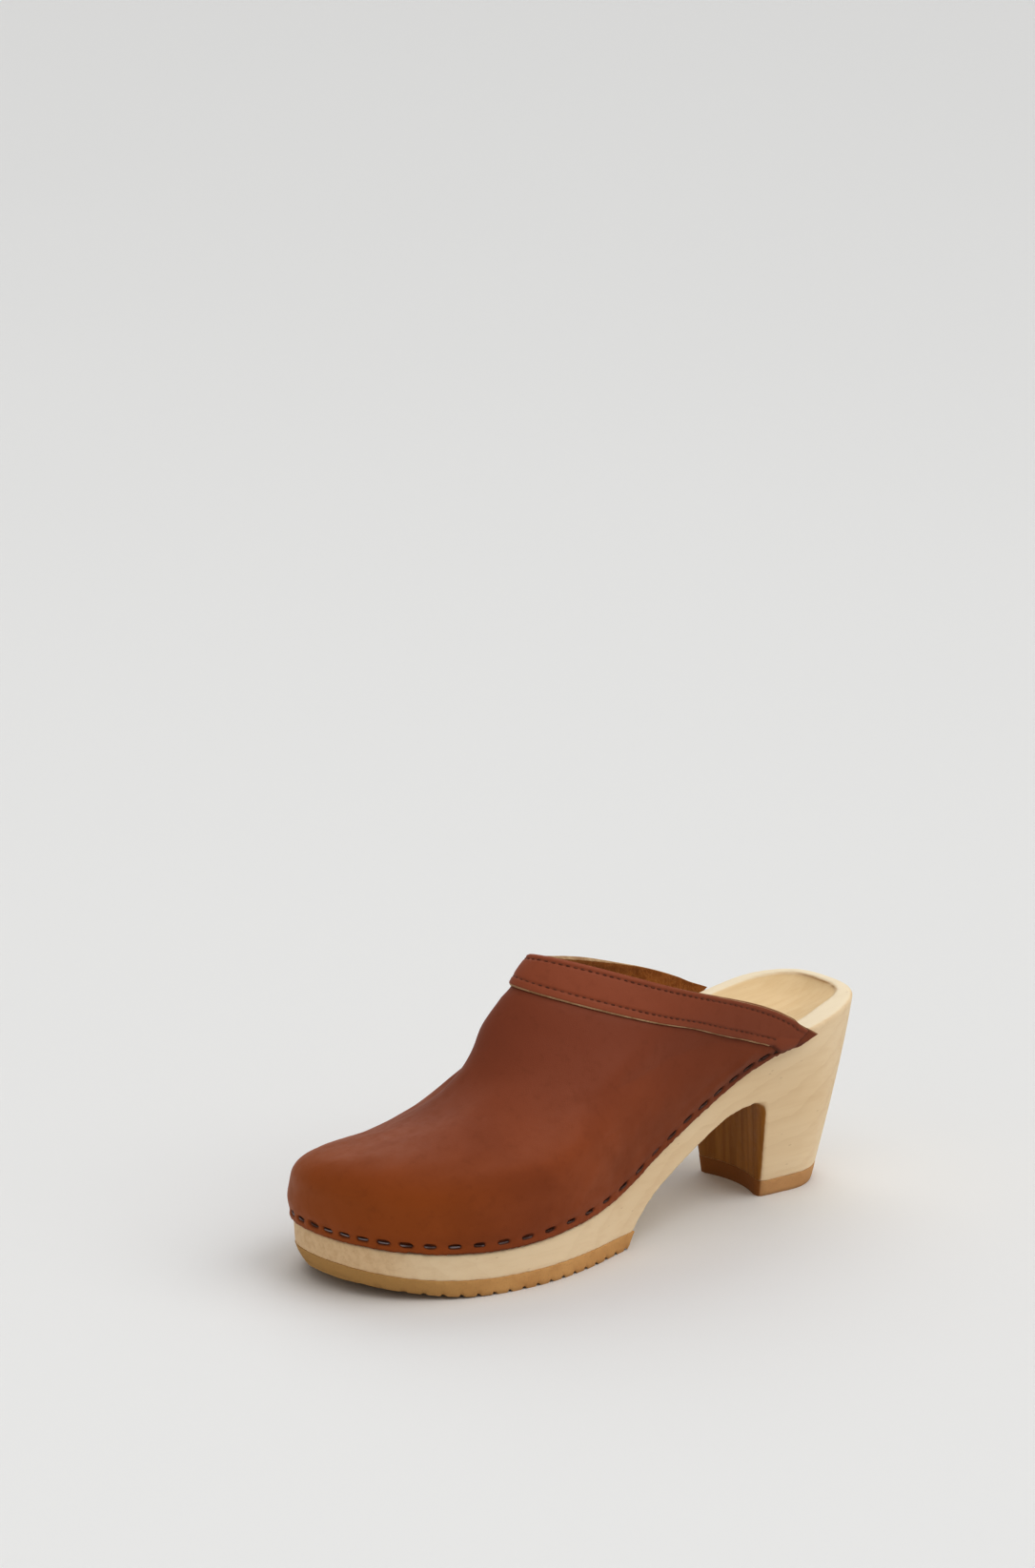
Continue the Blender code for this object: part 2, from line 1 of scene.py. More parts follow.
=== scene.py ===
"""Looks of a heeled wooden clog: alder sole, stapled leather upper, sewn collar band, two rubber soles.

The toe points to -Y, the outer side of the foot is +X and the floor is z = 0. Shape functions work in
millimetres in the frame of the sole's drawing; make() moves points to the row frame and turns them to metres.
"""
import math

import bmesh
import bpy
import numpy as np
from mathutils import Matrix, Vector


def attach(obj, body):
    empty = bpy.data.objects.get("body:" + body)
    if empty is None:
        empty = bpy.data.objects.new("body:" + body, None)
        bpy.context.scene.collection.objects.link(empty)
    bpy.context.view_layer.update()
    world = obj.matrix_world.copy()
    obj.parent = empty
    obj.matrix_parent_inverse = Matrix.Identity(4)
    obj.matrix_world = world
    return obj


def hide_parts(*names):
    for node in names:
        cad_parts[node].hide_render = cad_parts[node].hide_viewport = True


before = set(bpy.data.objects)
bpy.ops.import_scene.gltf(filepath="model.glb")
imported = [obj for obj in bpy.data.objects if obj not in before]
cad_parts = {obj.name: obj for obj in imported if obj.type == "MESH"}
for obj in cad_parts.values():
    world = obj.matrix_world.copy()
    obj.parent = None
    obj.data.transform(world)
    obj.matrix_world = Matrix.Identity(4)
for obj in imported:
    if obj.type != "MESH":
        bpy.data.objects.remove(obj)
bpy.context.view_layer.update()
MM = 0.001

# ---------------------------------------------------------------- dimensions shared with the CAD part, mm
RUBBER = 6.2
RABBET = 2.4
LEATHER = 2.0
PROUD = (1.0, 2.1)
BAND_WIDTH, BAND_THICK = 16.0, 1.3
TOE_SPRING, SPRING_START = 5.0, -70.0
TOP_ROW, LOW_ROW = 2.4, 3.0
OUTLINE = [(-9, -120.8), (15, -117), (32.8, -103.8), (43.5, -80.5), (46.3, -50), (39.9, -18.5), (34.3, 14.5),
           (32.4, 48), (30.6, 82), (26, 101), (14.5, 116.2), (-2, 119.5), (-18, 115.6), (-28.3, 104),
           (-30.4, 88), (-28.4, 50), (-31.5, 15), (-38.8, -22), (-43, -60), (-38.8, -93), (-27.2, -113.5)]
RIM_OUTER = [(-120, 6), (60, 6.5), (82, 9), (98, 9.8), (104, 9.2), (109, 8), (113, 6.9), (117, 5.8),
             (120, 5.2)]
RIM_INNER = [(-120, 6), (60, 6), (97, 6), (107, 5.7), (111, 5.2), (114, 4.8), (117, 4.6), (120, 4.8)]
LEAN = [(-150, 2), (-120, 0.5), (-45, 0.6), (-22, 1.7), (0, 0.8), (15, 0.2), (125, 0.2), (150, 2)]
TOE_TAPER = 2.4
RIM_TOP = [(-122, 28), (-80, 24.8), (-45, 26), (-15, 31), (15, 44), (40, 54.6), (60, 61.5), (83, 64.9),
           (100, 67.2), (120, 70)]
STEP_TOP = [(-122, 20.1), (-80, 16.5), (-62, 16.6), (-45, 17.9), (-27, 19.9), (-15, 23.2), (0, 30.3),
            (15, 37.8), (30, 45), (45, 52), (60, 57.2), (74, 59.4), (84, 61.2), (100, 63.2), (120, 65.5)]
ARCH = [(-7.2, 6.2), (2, 15.6), (11.5, 21.7), (23, 27.9), (33, 33), (42, 37.2), (50, 39.1), (57, 39.8)]
BREAST = [(61.2, 39.5), (63.3, 38.4), (64.5, 36.5), (64.9, 34), (65.6, 20), (66.6, 0), (66.9, -6)]
HEEL_AT, HEEL_HALF, HEEL_LONG, HEEL_TURN = (2.6, 66.2), 18.9, 33.6, -3.8
BREAST_HOLLOW, HEEL_CORNER = 3.0, 2.1
HEEL_SPREAD, SPREAD_OVER = 6.6, 36       # the heel block's front widens this much over this height
STATIONS = [-1, -0.8, -0.6, -0.4, -0.2, 0, 0.2, 0.4, 0.6, 0.8, 1]
FOOT_Y = [74, 45, 8, -42, -98, None, -94, -42, 8, 45, 74]
TOPLINE = [(34, 82.5, 63), (35, 62, 76), (34.3, 38, 85.6), (31.5, 13, 94.3), (20.5, -14.5, 104.6),
           (3, -27, 107.6), (-10, -14, 101.3), (-19.5, 9, 94.3), (-27, 33, 86.4), (-31.2, 58, 77),
           (-33.2, 84.5, 64.9)]
# shape of each station's curve from foot to topline: share of the way inward and up at nine even steps
EVEN = tuple(k / 8 for k in range(9))
REAR_IN, WAIST_IN = (0, .08, .18, .29, .41, .54, .68, .84, 1), (0, .01, .04, .10, .2, .34, .53, .75, 1)
REAR_UP, WAIST_UP = (0, .14, .28, .42, .55, .67, .78, .89, 1), (0, .15, .30, .44, .57, .69, .80, .90, 1)
INWARD = [EVEN, REAR_IN, WAIST_IN, (0, 0, .015, .07, .17, .32, .53, .76, 1),
          (0, 0, .02, .10, .24, .42, .63, .82, 1), (0, .01, .036, .13, .30, .50, .70, .86, 1),
          (0, .014, .04, .13, .30, .50, .70, .86, 1), (0, 0, .03, .09, .19, .34, .55, .77, 1),
          WAIST_IN, REAR_IN, EVEN]
UPWARD = [EVEN, REAR_UP, WAIST_UP, (0, .14, .27, .39, .49, .60, .715, .85, 1),
          (0, .14, .24, .335, .405, .49, .62, .82, 1), (0, .127, .225, .297, .338, .409, .56, .82, 1),
          (0, .121, .189, .251, .297, .374, .512, .756, 1), (0, .12, .20, .305, .41, .525, .655, .83, 1),
          WAIST_UP, REAR_UP, EVEN]
SWELL = [.3, 1.5, 2.5, 3.5, 3.0, 2.5, .8, 1.0, 2, 1.5, .3]
STAPLES_OUTER = [(0, 5.6), (5, 43.6), (10, 89), (15, 139), (20, 182), (25, 217)]
STAPLES_INNER = [(0, 2.4), (5, 43.5), (10, 89.5), (15, 137), (20, 173), (24, 198)]
CAD_HALF = 56           # sample pairs of the CAD footbed, which sets how it fades at its ends


# ---------------------------------------------------------------- curves
def natural(points):
    """Natural cubic spline y(x) through points, straight beyond its ends."""
    x, y = np.array(points, float).T
    n, h = len(x), np.diff(x)
    a, b = np.eye(n), np.zeros(n)
    for i in range(1, n - 1):
        a[i, i - 1], a[i, i], a[i, i + 1] = h[i - 1], 2 * (h[i - 1] + h[i]), h[i]
        b[i] = 6 * ((y[i + 1] - y[i]) / h[i] - (y[i] - y[i - 1]) / h[i - 1])
    m = np.linalg.solve(a, b)
    first = (y[1] - y[0]) / h[0] - h[0] * m[1] / 6
    last = (y[-1] - y[-2]) / h[-1] + h[-1] * m[-2] / 6

    def at(v):
        v = np.asarray(v, float)
        i = np.clip(np.searchsorted(x, v) - 1, 0, n - 2)
        t, d = v - x[i], h[i]
        slope = (y[i + 1] - y[i]) / d - d * (2 * m[i] + m[i + 1]) / 6
        inside = y[i] + slope * t + m[i] * t ** 2 / 2 + (m[i + 1] - m[i]) * t ** 3 / (6 * d)
        inside = np.where(v > x[-1], y[-1] + (v - x[-1]) * last, inside)
        return np.where(v < x[0], y[0] + (v - x[0]) * first, inside)

    return at


def ease(a, b, v):
    t = np.clip((np.asarray(v, float) - a) / (b - a), 0, 1)
    return t * t * (3 - 2 * t)


def resample(p, lengths=None):
    """Cumulative length of a polyline, or its points at the given lengths."""
    s = np.concatenate([[0], np.cumsum(np.linalg.norm(np.diff(p, axis=0), axis=1))])
    if lengths is None:
        return s
    return np.stack([np.interp(lengths, s, c) for c in p.T], -1)


def unit(v):
    return v / np.linalg.norm(v, axis=-1)[..., None]


def field(points, size, seed, count=28):
    """Smooth random field of about -1 to 1 over points, with features of about this size in mm."""
    rng = np.random.default_rng(seed)
    waves = rng.normal(size=(count, 3)) * 2.4 / size
    phase = rng.uniform(0, 2 * math.pi, count)
    flat = np.asarray(points).reshape(-1, 3)
    return (np.sin(flat @ waves.T + phase).sum(1) * math.sqrt(1.2 / count)).reshape(points.shape[:-1])


class Plan:
    """The sole's closed plan outline, by length from the toe tip."""

    def __init__(self, points):
        p = np.array(points, float)
        p = np.vstack([p[-4:], p, p[:4]])
        t = np.concatenate([[0], np.cumsum(np.sqrt(np.linalg.norm(np.diff(p, axis=0), axis=1)))])
        v = np.linspace(t[4], t[-4], 4801)
        self.points = np.stack([natural(np.c_[t, c])(v) for c in p.T], 1)
        self.s = resample(self.points)
        self.length = self.s[-1]

    def __call__(self, s):
        s = np.mod(s, self.length)
        return np.stack([np.interp(s, self.s, c) for c in self.points.T], -1)

    def outward(self, s):
        t = self(np.asarray(s) + 1.0) - self(np.asarray(s) - 1.0)
        return unit(np.stack([t[..., 1], -t[..., 0]], -1))

    def at_y(self, y, side):
        """Length at which the outline passes y on the outer (1) or inner (-1) side, inner side negative."""
        k = (self.points[:, 0] * side > 0) & (np.abs(self.points[:, 1]) < 115)
        s = self.s[k][np.argmin(np.abs(self.points[k, 1] - y))]
        return s if side > 0 else s - self.length

    def inset(self, xy):
        """Distance of points inside the outline from it, and negative outside."""
        line, out = self.points[:-1:8], self.outward(self.s[:-1:8])
        result = np.empty(len(xy))
        for a in range(0, len(xy), 20000):
            gap = xy[a:a + 20000, None] - line
            near = np.argmin((gap ** 2).sum(2), axis=1)
            result[a:a + 20000] = -(gap[np.arange(len(near)), near] * out[near]).sum(1)
        return result


plan = Plan(OUTLINE)
rim_top, step_top = natural(RIM_TOP), natural(STEP_TOP)
ORIGIN = np.array([-2.16, 2.41, 0.0])


def spring(y):
    return TOE_SPRING * np.clip((SPRING_START - np.asarray(y, float)) / 50, 0, None) ** 2


def rim_height(points):
    """Height of the rim: at the heel its inner side stands a little higher."""
    x, y = np.asarray(points, float)[..., 0], np.asarray(points, float)[..., 1]
    return rim_top(y) + 0.7 * ease(5, -22, x) * ease(35, 65, y)


def heel_print(share):
    """Floor outline of the heel block, from its outer front corner round the back to the inner one."""
    w, straight = HEEL_HALF, HEEL_LONG - HEEL_HALF
    a = np.linspace(0, math.pi, 97)
    local = np.vstack([[(w, 0)], np.c_[w * np.cos(a), straight + w * np.sin(a)], [(-w, 0)]])
    c, s = math.cos(math.radians(HEEL_TURN)), math.sin(math.radians(HEEL_TURN))
    world = local @ np.array([[c, s], [-s, c]]) + HEEL_AT
    return resample(world, np.asarray(share) * resample(world)[-1])


class Rings:
    """Sample points round the sole: 0 is the toe tip, half the heel tip, i and -i face each other."""

    def __init__(self, half):
        self.half = half
        heel = plan.s[np.argmax(plan.points[:, 1])]
        back_again = np.linspace(heel, plan.length, half + 1)[1:-1]
        self.s = np.concatenate([np.linspace(0, heel, half + 1), back_again])
        self.edge, self.out = plan(self.s), plan.outward(self.s)
        self.rim, self.step = rim_height(self.edge), step_top(self.edge[:, 1])
        self.stepped = 1 - ease(58, 80, self.edge[:, 1])
        way = np.where(self.s > plan.length / 2, self.s - plan.length, self.s)
        inset = np.interp(way, *np.array(LEAN, float).T)
        self.taper = TOE_TAPER * (1 - ease(45, 68, np.abs(way)))
        self.width = np.where(way > 0, np.interp(self.edge[:, 1], *np.array(RIM_OUTER, float).T),
                              np.interp(self.edge[:, 1], *np.array(RIM_INNER, float).T))
        s_out, s_in = plan.at_y(66, 1), plan.at_y(66, -1) + plan.length
        heel_part = (self.s >= s_out) & (self.s <= s_in)
        corner = np.where((self.s < s_out)[:, None], heel_print(0.0) - plan(s_out),
                          heel_print(1.0) - plan(s_in))
        w = ease(-5, 66, self.edge[:, 1])[:, None]
        front = self.edge - self.out * inset[:, None] * (1 - w) + corner * w
        back = heel_print(np.clip((self.s - s_out) / (s_in - s_out), 0, 1))
        self.floor = np.where(heel_part[:, None], back, front)

    def wall(self, z):
        """Side wall at height z (one per sample): straight from the rim's edge to the floor print, the rubber
        rounded under at the toe and the back of the heel slightly full."""
        z = np.broadcast_to(z, self.rim.shape)
        full = 1 + 0.2 * ease(80, 105, self.edge[:, 1])
        share = (np.clip((self.rim - z) / self.rim, 0, 1) ** full)[:, None]
        under = np.clip(1 - (z - spring(self.edge[:, 1])) / RUBBER, 0, 1) ** 1.3
        tucked = self.out * (self.taper * under)[:, None]
        return np.c_[self.edge + (self.floor - self.edge) * share - tucked, z]

    def outline(self, inset, z):
        step = RABBET * self.stepped
        return np.c_[self.edge - self.out * (step + inset)[:, None], np.broadcast_to(z, self.rim.shape)]


# ---------------------------------------------------------------- meshes
def link(obj):
    bpy.context.scene.collection.objects.link(obj)
    return obj


def make(name, verts, faces, materials, face_materials=None, sharp=None):
    """One named object from millimetre points, its faces turned out and shaded smooth."""
    mesh = bpy.data.meshes.new(name)
    mesh.from_pydata(((np.asarray(verts) + ORIGIN) * MM).tolist(), [], faces)
    if face_materials is not None:
        mesh.polygons.foreach_set("material_index", np.asarray(face_materials, np.int32))
    work = bmesh.new()
    work.from_mesh(mesh)
    bmesh.ops.recalc_face_normals(work, faces=work.faces)
    work.to_mesh(mesh)
    work.free()
    for m in materials:
        mesh.materials.append(m)
    mesh.shade_smooth()
    if sharp:
        mesh.set_sharp_from_angle(angle=math.radians(sharp))
    return link(bpy.data.objects.new(name, mesh))


def quads(grid):
    """Quads of a two-way grid of vertex numbers."""
    a, b, c, d = grid[:-1, :-1], grid[1:, :-1], grid[1:, 1:], grid[:-1, 1:]
    return np.stack([a, b, c, d], -1).reshape(-1, 4).tolist()


def closed_tube(number):
    """Faces of a tube over rings of vertex numbers, one ring a row, both ends capped."""
    return quads(np.c_[number, number[:, 0]]) + [number[0].tolist(), number[-1].tolist()]


def plan_body(rings, half, across, top, bottom):
    """Closed body from rings round the sole, first ring on top, closed by rows across it.
    top and bottom give the heights there from points, shares of the way across and row numbers."""
    count = len(rings[0])
    verts = [np.asarray(r) for r in rings]
    number = np.arange(count * len(rings)).reshape(len(rings), count)
    faces = quads(np.c_[number, number[:, 0]])
    start = count * len(rings)
    rows = np.arange(1, half)
    u = np.linspace(0, 1, across + 1)[1:-1]
    for ring, height in ((0, top), (len(rings) - 1, bottom)):
        a, b = rings[ring][rows], rings[ring][count - rows]
        q = a[:, None] + (b - a)[:, None] * u[None, :, None]
        q[..., 2] = height(q, u[None], rows[:, None])
        verts.append(q.reshape(-1, 3))
        inner = np.arange(start, start + q[..., 0].size).reshape(len(rows), across - 1)
        start += inner.size
        grid = np.c_[number[ring, rows], inner, number[ring, count - rows]]
        faces += quads(grid)
        for tip, row in ((number[ring, 0], grid[0]), (number[ring, half], grid[-1])):
            faces += [(int(tip), int(x), int(y)) for x, y in zip(row[:-1], row[1:])]
    return np.vstack(verts), faces


def sheet(name, outer, inner, materials, bulge=(0.25, 0.25), layers=3, dark=None):
    """Closed sheet of leather. inner has fewer rows than outer: its cells span several of outer's.
    Materials: outer face, inner face, raw edge at the last row, raw edge at the first row, cut ends; the last
    row's edge also takes the last of them where dark is true, a value per column."""
    a, b = outer.shape[:2]
    c = inner.shape[1]
    step = (b - 1) // (c - 1)
    out_n = np.arange(a * b).reshape(a, b)
    in_n = np.arange(a * c).reshape(a, c) + a * b
    verts = [outer.reshape(-1, 3), inner.reshape(-1, 3)]
    faces = quads(out_n) + quads(in_n)
    kinds = [0] * ((a - 1) * (b - 1)) + [1] * ((a - 1) * (c - 1))
    start = a * (b + c)
    rims = {}
    for end, (at, before, kind) in {"first": (0, 1, 3), "last": (-1, -2, 2)}.items():
        p, q = outer[:, at], inner[:, at]
        off = unit(outer[:, at] - outer[:, before])
        w = (np.arange(layers) + 1) / (layers + 1)
        rim = p[:, None] + (q - p)[:, None] * w[None, :, None]
        rim += off[:, None] * (bulge[kind - 2] * np.sin(np.pi * w))[None, :, None]
        number = np.arange(start, start + a * layers).reshape(a, layers)
        start += a * layers
        verts.append(rim.reshape(-1, 3))
        faces += quads(np.c_[out_n[:, at], number, in_n[:, at]])
        columns = np.full(a - 1, kind)
        if end == "last" and dark is not None:
            columns[dark[:-1]] = 4
        kinds += np.repeat(columns, layers + 1).tolist()
        rims[end] = number
    for i in (0, a - 1):
        for j in range(c - 1):
            ring = list(out_n[i, j * step:(j + 1) * step + 1])
            if j == c - 2:
                ring += list(rims["last"][i])
            ring += [in_n[i, j + 1], in_n[i, j]]
            if j == 0:
                ring += list(rims["first"][i][::-1])
            faces.append([int(v) for v in ring])
            kinds.append(4)
    return make(name, np.vstack(verts), faces, materials, kinds)


def cut(obj, cutter):
    mod = obj.modifiers.new("cut", "BOOLEAN")
    mod.operation, mod.solver, mod.object = "DIFFERENCE", "EXACT", cutter


def bake_modifiers(obj):
    """Applies an object's modifiers to its mesh."""
    depsgraph = bpy.context.evaluated_depsgraph_get()
    mesh = bpy.data.meshes.new_from_object(obj.evaluated_get(depsgraph), depsgraph=depsgraph)
    obj.modifiers.clear()
    obj.data = mesh


def drop(*objects):
    for obj in objects:
        bpy.data.objects.remove(obj, do_unlink=True)


def coords(mesh):
    """A mesh's points in the drawing's millimetres."""
    co = np.empty(len(mesh.vertices) * 3)
    mesh.vertices.foreach_get("co", co)
    return co.reshape(-1, 3) / MM - ORIGIN


def set_coords(mesh, points):
    mesh.vertices.foreach_set("co", ((points + ORIGIN) * MM).ravel())
    mesh.update()


def relax(mesh, rounds, keep=0.5):
    """Evens out a dense mesh, which rounds its edges a little."""
    edges = np.empty(len(mesh.edges) * 2, int)
    mesh.edges.foreach_get("vertices", edges)
    edges = edges.reshape(-1, 2)
    p = coords(mesh)
    both = np.concatenate([edges, edges[:, ::-1]])
    many = np.bincount(both[:, 0], minlength=len(p))[:, None]
    for _ in range(rounds):
        near = [np.bincount(both[:, 0], weights=p[both[:, 1], k], minlength=len(p)) for k in range(3)]
        p = p * keep + np.stack(near, 1) / np.maximum(many, 1) * (1 - keep)
    set_coords(mesh, p)


def add_value(mesh, name, values):
    """Stores a value per point; the points that values doesn't reach, behind a sheet's outer face, get 0."""
    all_values = np.zeros(len(mesh.vertices), np.float32)
    all_values[:np.size(values)] = np.ravel(values)
    mesh.attributes.new(name, "FLOAT", "POINT").data.foreach_set("value", all_values)


# ---------------------------------------------------------------- materials
class Nodes:
    """A material being built: n(kind, ...) adds a node, its inputs set from values or sockets, by name, or by
    number as i0, i1 and so on."""

    def __init__(self, name):
        self.mat = bpy.data.materials.new(name)
        self.mat.use_nodes = True
        self.tree = self.mat.node_tree
        self.shader = self.tree.nodes["Principled BSDF"]
        self.place = self.n("ShaderNodeTexCoord").outputs["Object"]

    def n(self, kind, props=None, **inputs):
        node = self.tree.nodes.new(kind)
        for key, value in (props or {}).items():
            setattr(node, key, value)
        for key, value in inputs.items():
            self.put(node, key, value)
        return node

    def put(self, node, key, value):
        numbered = key[0] == "i" and key[1:].isdigit()
        socket = node.inputs[int(key[1:]) if numbered else key.replace("_", " ")]
        if isinstance(value, bpy.types.NodeSocket):
            self.tree.links.new(value, socket)
        else:
            socket.default_value = value

    def math(self, op, a, b):
        return self.n("ShaderNodeMath", {"operation": op}, i0=a, i1=b).outputs[0]

    def plus(self, a, b):
        return self.math("ADD", a, b)

    def times(self, a, b):
        return self.math("MULTIPLY", a, b)

    def axes(self, vector):
        """The x, y and z of a vector."""
        return self.n("ShaderNodeSeparateXYZ", Vector=vector).outputs

    def facing(self):
        return self.axes(self.n("ShaderNodeNewGeometry").outputs["Normal"])

    def stretch(self, scale, turn=(0, 0, 0), where=None):
        return self.n("ShaderNodeMapping", Vector=where or self.place, Scale=scale, Rotation=turn).outputs[0]

    def noise(self, scale, detail=3.0, rough=0.5, where=None, distortion=0.0):
        return self.n("ShaderNodeTexNoise", Vector=where or self.place, Scale=scale, Detail=detail,
                      Roughness=rough, Distortion=distortion).outputs["Fac"]

    def spread(self, value, low, high, to_low=0.0, to_high=1.0):
        return self.n("ShaderNodeMapRange", {"interpolation_type": "SMOOTHSTEP"}, Value=value, From_Min=low,
                      From_Max=high, To_Min=to_low, To_Max=to_high).outputs[0]

    def mix(self, share, a, b):
        node = self.n("ShaderNodeMix", {"data_type": "RGBA"}, i0=share)
        for k, c in ((6, a), (7, b)):
            self.put(node, f"i{k}", c if isinstance(c, bpy.types.NodeSocket) else (*c, 1))
        return node.outputs[2]

    def value(self, name):
        return self.n("ShaderNodeAttribute", {"attribute_name": name}).outputs["Fac"]

    def bump(self, height, depth_mm, normal=None):
        node = self.n("ShaderNodeBump", Height=height, Distance=depth_mm * MM, Strength=1.0)
        if normal is not None:
            self.put(node, "Normal", normal)
        return node.outputs[0]

    def finish(self, colour, roughness, normal, **more):
        for key, value in {"Base_Color": colour, "Roughness": roughness, "Normal": normal, **more}.items():
            self.put(self.shader, key, value)
        return self.mat


def wood_material():
    m = Nodes("alder")
    _, y, z = m.axes(m.place)
    tilt = (math.radians(-6), 0, math.radians(1.5))
    grain = m.stretch((1, 1, 1), tilt)
    # growth rings round an axis that runs along the foot, well outside the block
    centred = m.n("ShaderNodeVectorMath", {"operation": "ADD"}, i0=grain, i1=(0.135, 0.0, 0.03)).outputs[0]
    wobble = m.noise(1.0, 2.0, where=m.stretch((22, 5, 22)))
    rings = m.n("ShaderNodeTexWave", {"wave_type": "RINGS", "rings_direction": "Y", "wave_profile": "SAW"},
                Vector=centred, Scale=68.0, Distortion=m.spread(wobble, 0.3, 0.7, 1.5, 5.0), Detail=2.0,
                Detail_Scale=0.9, Detail_Roughness=0.55).outputs["Fac"]
    line = m.spread(rings, 0.45, 1.0)
    streak = m.noise(1.0, 4.0, 0.6, where=m.stretch((420, 16, 420), tilt))
    broad = m.noise(1.0, 2.0, where=m.stretch((30, 8, 30)))
    fibre = m.noise(1.0, 3.0, 0.7, where=m.stretch((2600, 130, 2600), tilt))
    cells = m.n("ShaderNodeTexVoronoi", {"feature": "F1"}, Vector=m.stretch((1100, 300, 1100), tilt),
                Scale=1.0, Randomness=1.0)
    draw = m.n("ShaderNodeSeparateColor", Color=cells.outputs["Color"]).outputs[0]
    chosen = m.math("GREATER_THAN", draw, 0.97)
    fleck = m.times(m.spread(cells.outputs["Distance"], 0.30, 0.12), chosen)
    facing = m.facing()[1]
    side = m.mix(m.spread(broad, 0.35, 0.65), (0.81, 0.63, 0.41), (0.86, 0.695, 0.48))
    side = m.mix(m.times(line, m.spread(broad, 0.25, 0.75, 0.16, 0.06)), side, (0.60, 0.39, 0.20))
    side = m.mix(m.spread(streak, 0.42, 0.75, 0.0, 0.17), side, (0.66, 0.45, 0.25))
    # painted shade: the toe's front, turned away from the key light, takes a darker tone streaked with the
    # grain
    toe = m.times(m.spread(y, -0.075, -0.115), m.spread(facing, -0.35, -0.95))
    toe_tone = m.mix(m.spread(streak, 0.35, 0.7), (0.78, 0.56, 0.335), (0.69, 0.47, 0.26))
    side = m.mix(m.times(toe, 0.85), side, toe_tone)
    # painted shade on the back of the arch and the front of the heel, which lie in shade under the waist, over
    # their darker, absorbent end grain
    ends = m.noise(1.0, 4.0, 0.6, where=m.stretch((330, 330, 12)))
    ends = m.mix(m.spread(ends, 0.32, 0.68), (0.30, 0.12, 0.015), (0.42, 0.19, 0.035))
    end = m.times(m.spread(facing, -0.62, -0.93), m.spread(y, 0.03, 0.04))
    colour = m.mix(end, side, ends)
    back = m.times(m.spread(facing, 0.7, 0.95), m.spread(z, 0.10, 0.06))
    colour = m.mix(m.times(back, m.spread(line, 0.0, 1.0, 0.08, 0.27)), colour, (0.60, 0.39, 0.20))
    colour = m.mix(m.times(m.value("rim"), 0.8), colour, (0.87, 0.77, 0.59))
    dish = m.mix(m.spread(streak, 0.35, 0.7), (0.80, 0.605, 0.355), (0.765, 0.565, 0.32))
    colour = m.mix(m.times(m.value("dish"), 0.95), colour, dish)
    colour = m.mix(m.times(fleck, 0.3), colour, (0.42, 0.25, 0.12))
    rough = m.spread(streak, 0.3, 0.7, 0.52, 0.66)
    height = m.plus(m.times(fibre, 0.6), m.times(streak, 1.2))
    height = m.math("SUBTRACT", height, m.times(fleck, 1.0))
    height = m.math("SUBTRACT", height, m.times(line, 0.3))
    return m.finish(colour, rough, m.bump(height, 0.05), Specular_IOR_Level=0.30)


def hide_material(name, dark, light, toe, high):
    m = Nodes(name)
    cloud = m.noise(38.0, 4.0, 0.55, distortion=0.4)
    fine = m.noise(240.0, 3.0, 0.6)
    _, y, z = m.axes(m.place)
    colour = m.mix(m.spread(cloud, 0.30, 0.72), dark, light)
    front = m.times(m.spread(y, -0.055, -0.112), m.spread(z, 0.062, 0.035))
    colour = m.mix(m.times(front, 0.85), colour, toe)
    # painted sheen: the upper parts take a pinker tone standing for the sky's reflection on the upward-facing
    # leather
    colour = m.mix(m.spread(z, 0.034, 0.084), colour, high)
    colour = m.mix(m.spread(y, -0.02, 0.05, 0.0, 0.30), colour, tuple(c * 0.4 for c in dark))
    colour = m.mix(m.spread(fine, 0.5, 0.8, 0.0, 0.18), colour, tuple(c * 0.55 for c in dark))
    raw = m.times(m.value("raw"), m.spread(fine, 0.3, 0.6, 0.9, 0.45))
    colour = m.mix(raw, colour, (0.50, 0.30, 0.16))
    # darkening from the stored value: painted shade in the staple holes, the stitch grooves and at the band's
    # ends, plus the real dark burnt lower edge of the upper
    burn_and_shade = m.times(m.value("burn_and_shade"), m.spread(fine, 0.35, 0.6, 0.45, 1.0))
    colour = m.mix(burn_and_shade, colour, (0.085, 0.020, 0.010))
    cells = m.n("ShaderNodeTexVoronoi", {"feature": "DISTANCE_TO_EDGE"}, Vector=m.place, Scale=1500.0)
    pebble = m.spread(cells.outputs["Distance"], 0.0, 0.25)
    pore = m.noise(3600.0, 2.0, 0.6)
    height = m.plus(m.times(pebble, 0.55), m.times(pore, 0.55))
    normal = m.bump(height, 0.022)
    normal = m.bump(cloud, 0.25, normal)
    rough = m.plus(m.spread(cloud, 0.3, 0.7, 0.50, 0.42), m.spread(fine, 0.3, 0.7, 0.0, 0.08))
    return m.finish(colour, rough, normal, Specular_IOR_Level=0.22)


def suede_material():
    m = Nodes("suede_side")
    nap = m.noise(900.0, 4.0, 0.7)
    tuft = m.noise(120.0, 4.0, 0.65, distortion=0.8)
    colour = m.mix(m.spread(tuft, 0.3, 0.7), (0.22, 0.070, 0.012), (0.36, 0.135, 0.030))
    colour = m.mix(m.spread(nap, 0.4, 0.7, 0.0, 0.5), colour, (0.44, 0.20, 0.06))
    normal = m.bump(m.plus(nap, m.times(tuft, 0.7)), 0.28)
    return m.finish(colour, 0.95, normal, Specular_IOR_Level=0.12, Sheen_Weight=0.25, Sheen_Roughness=0.5,
                    Sheen_Tint=(0.9, 0.6, 0.35, 1))


def raw_edge_material(name, pale, brown, share):
    m = Nodes(name)
    fuzz = m.noise(1300.0, 3.0, 0.7)
    patch = m.noise(150.0, 3.0, 0.6)
    colour = m.mix(m.spread(patch, 0.38, 0.62, share[0], share[1]), pale, brown)
    colour = m.mix(m.spread(fuzz, 0.45, 0.75, 0.0, 0.45), colour, tuple(c * 0.6 for c in brown))
    return m.finish(colour, 0.92, m.bump(m.plus(fuzz, patch), 0.12), Specular_IOR_Level=0.15)


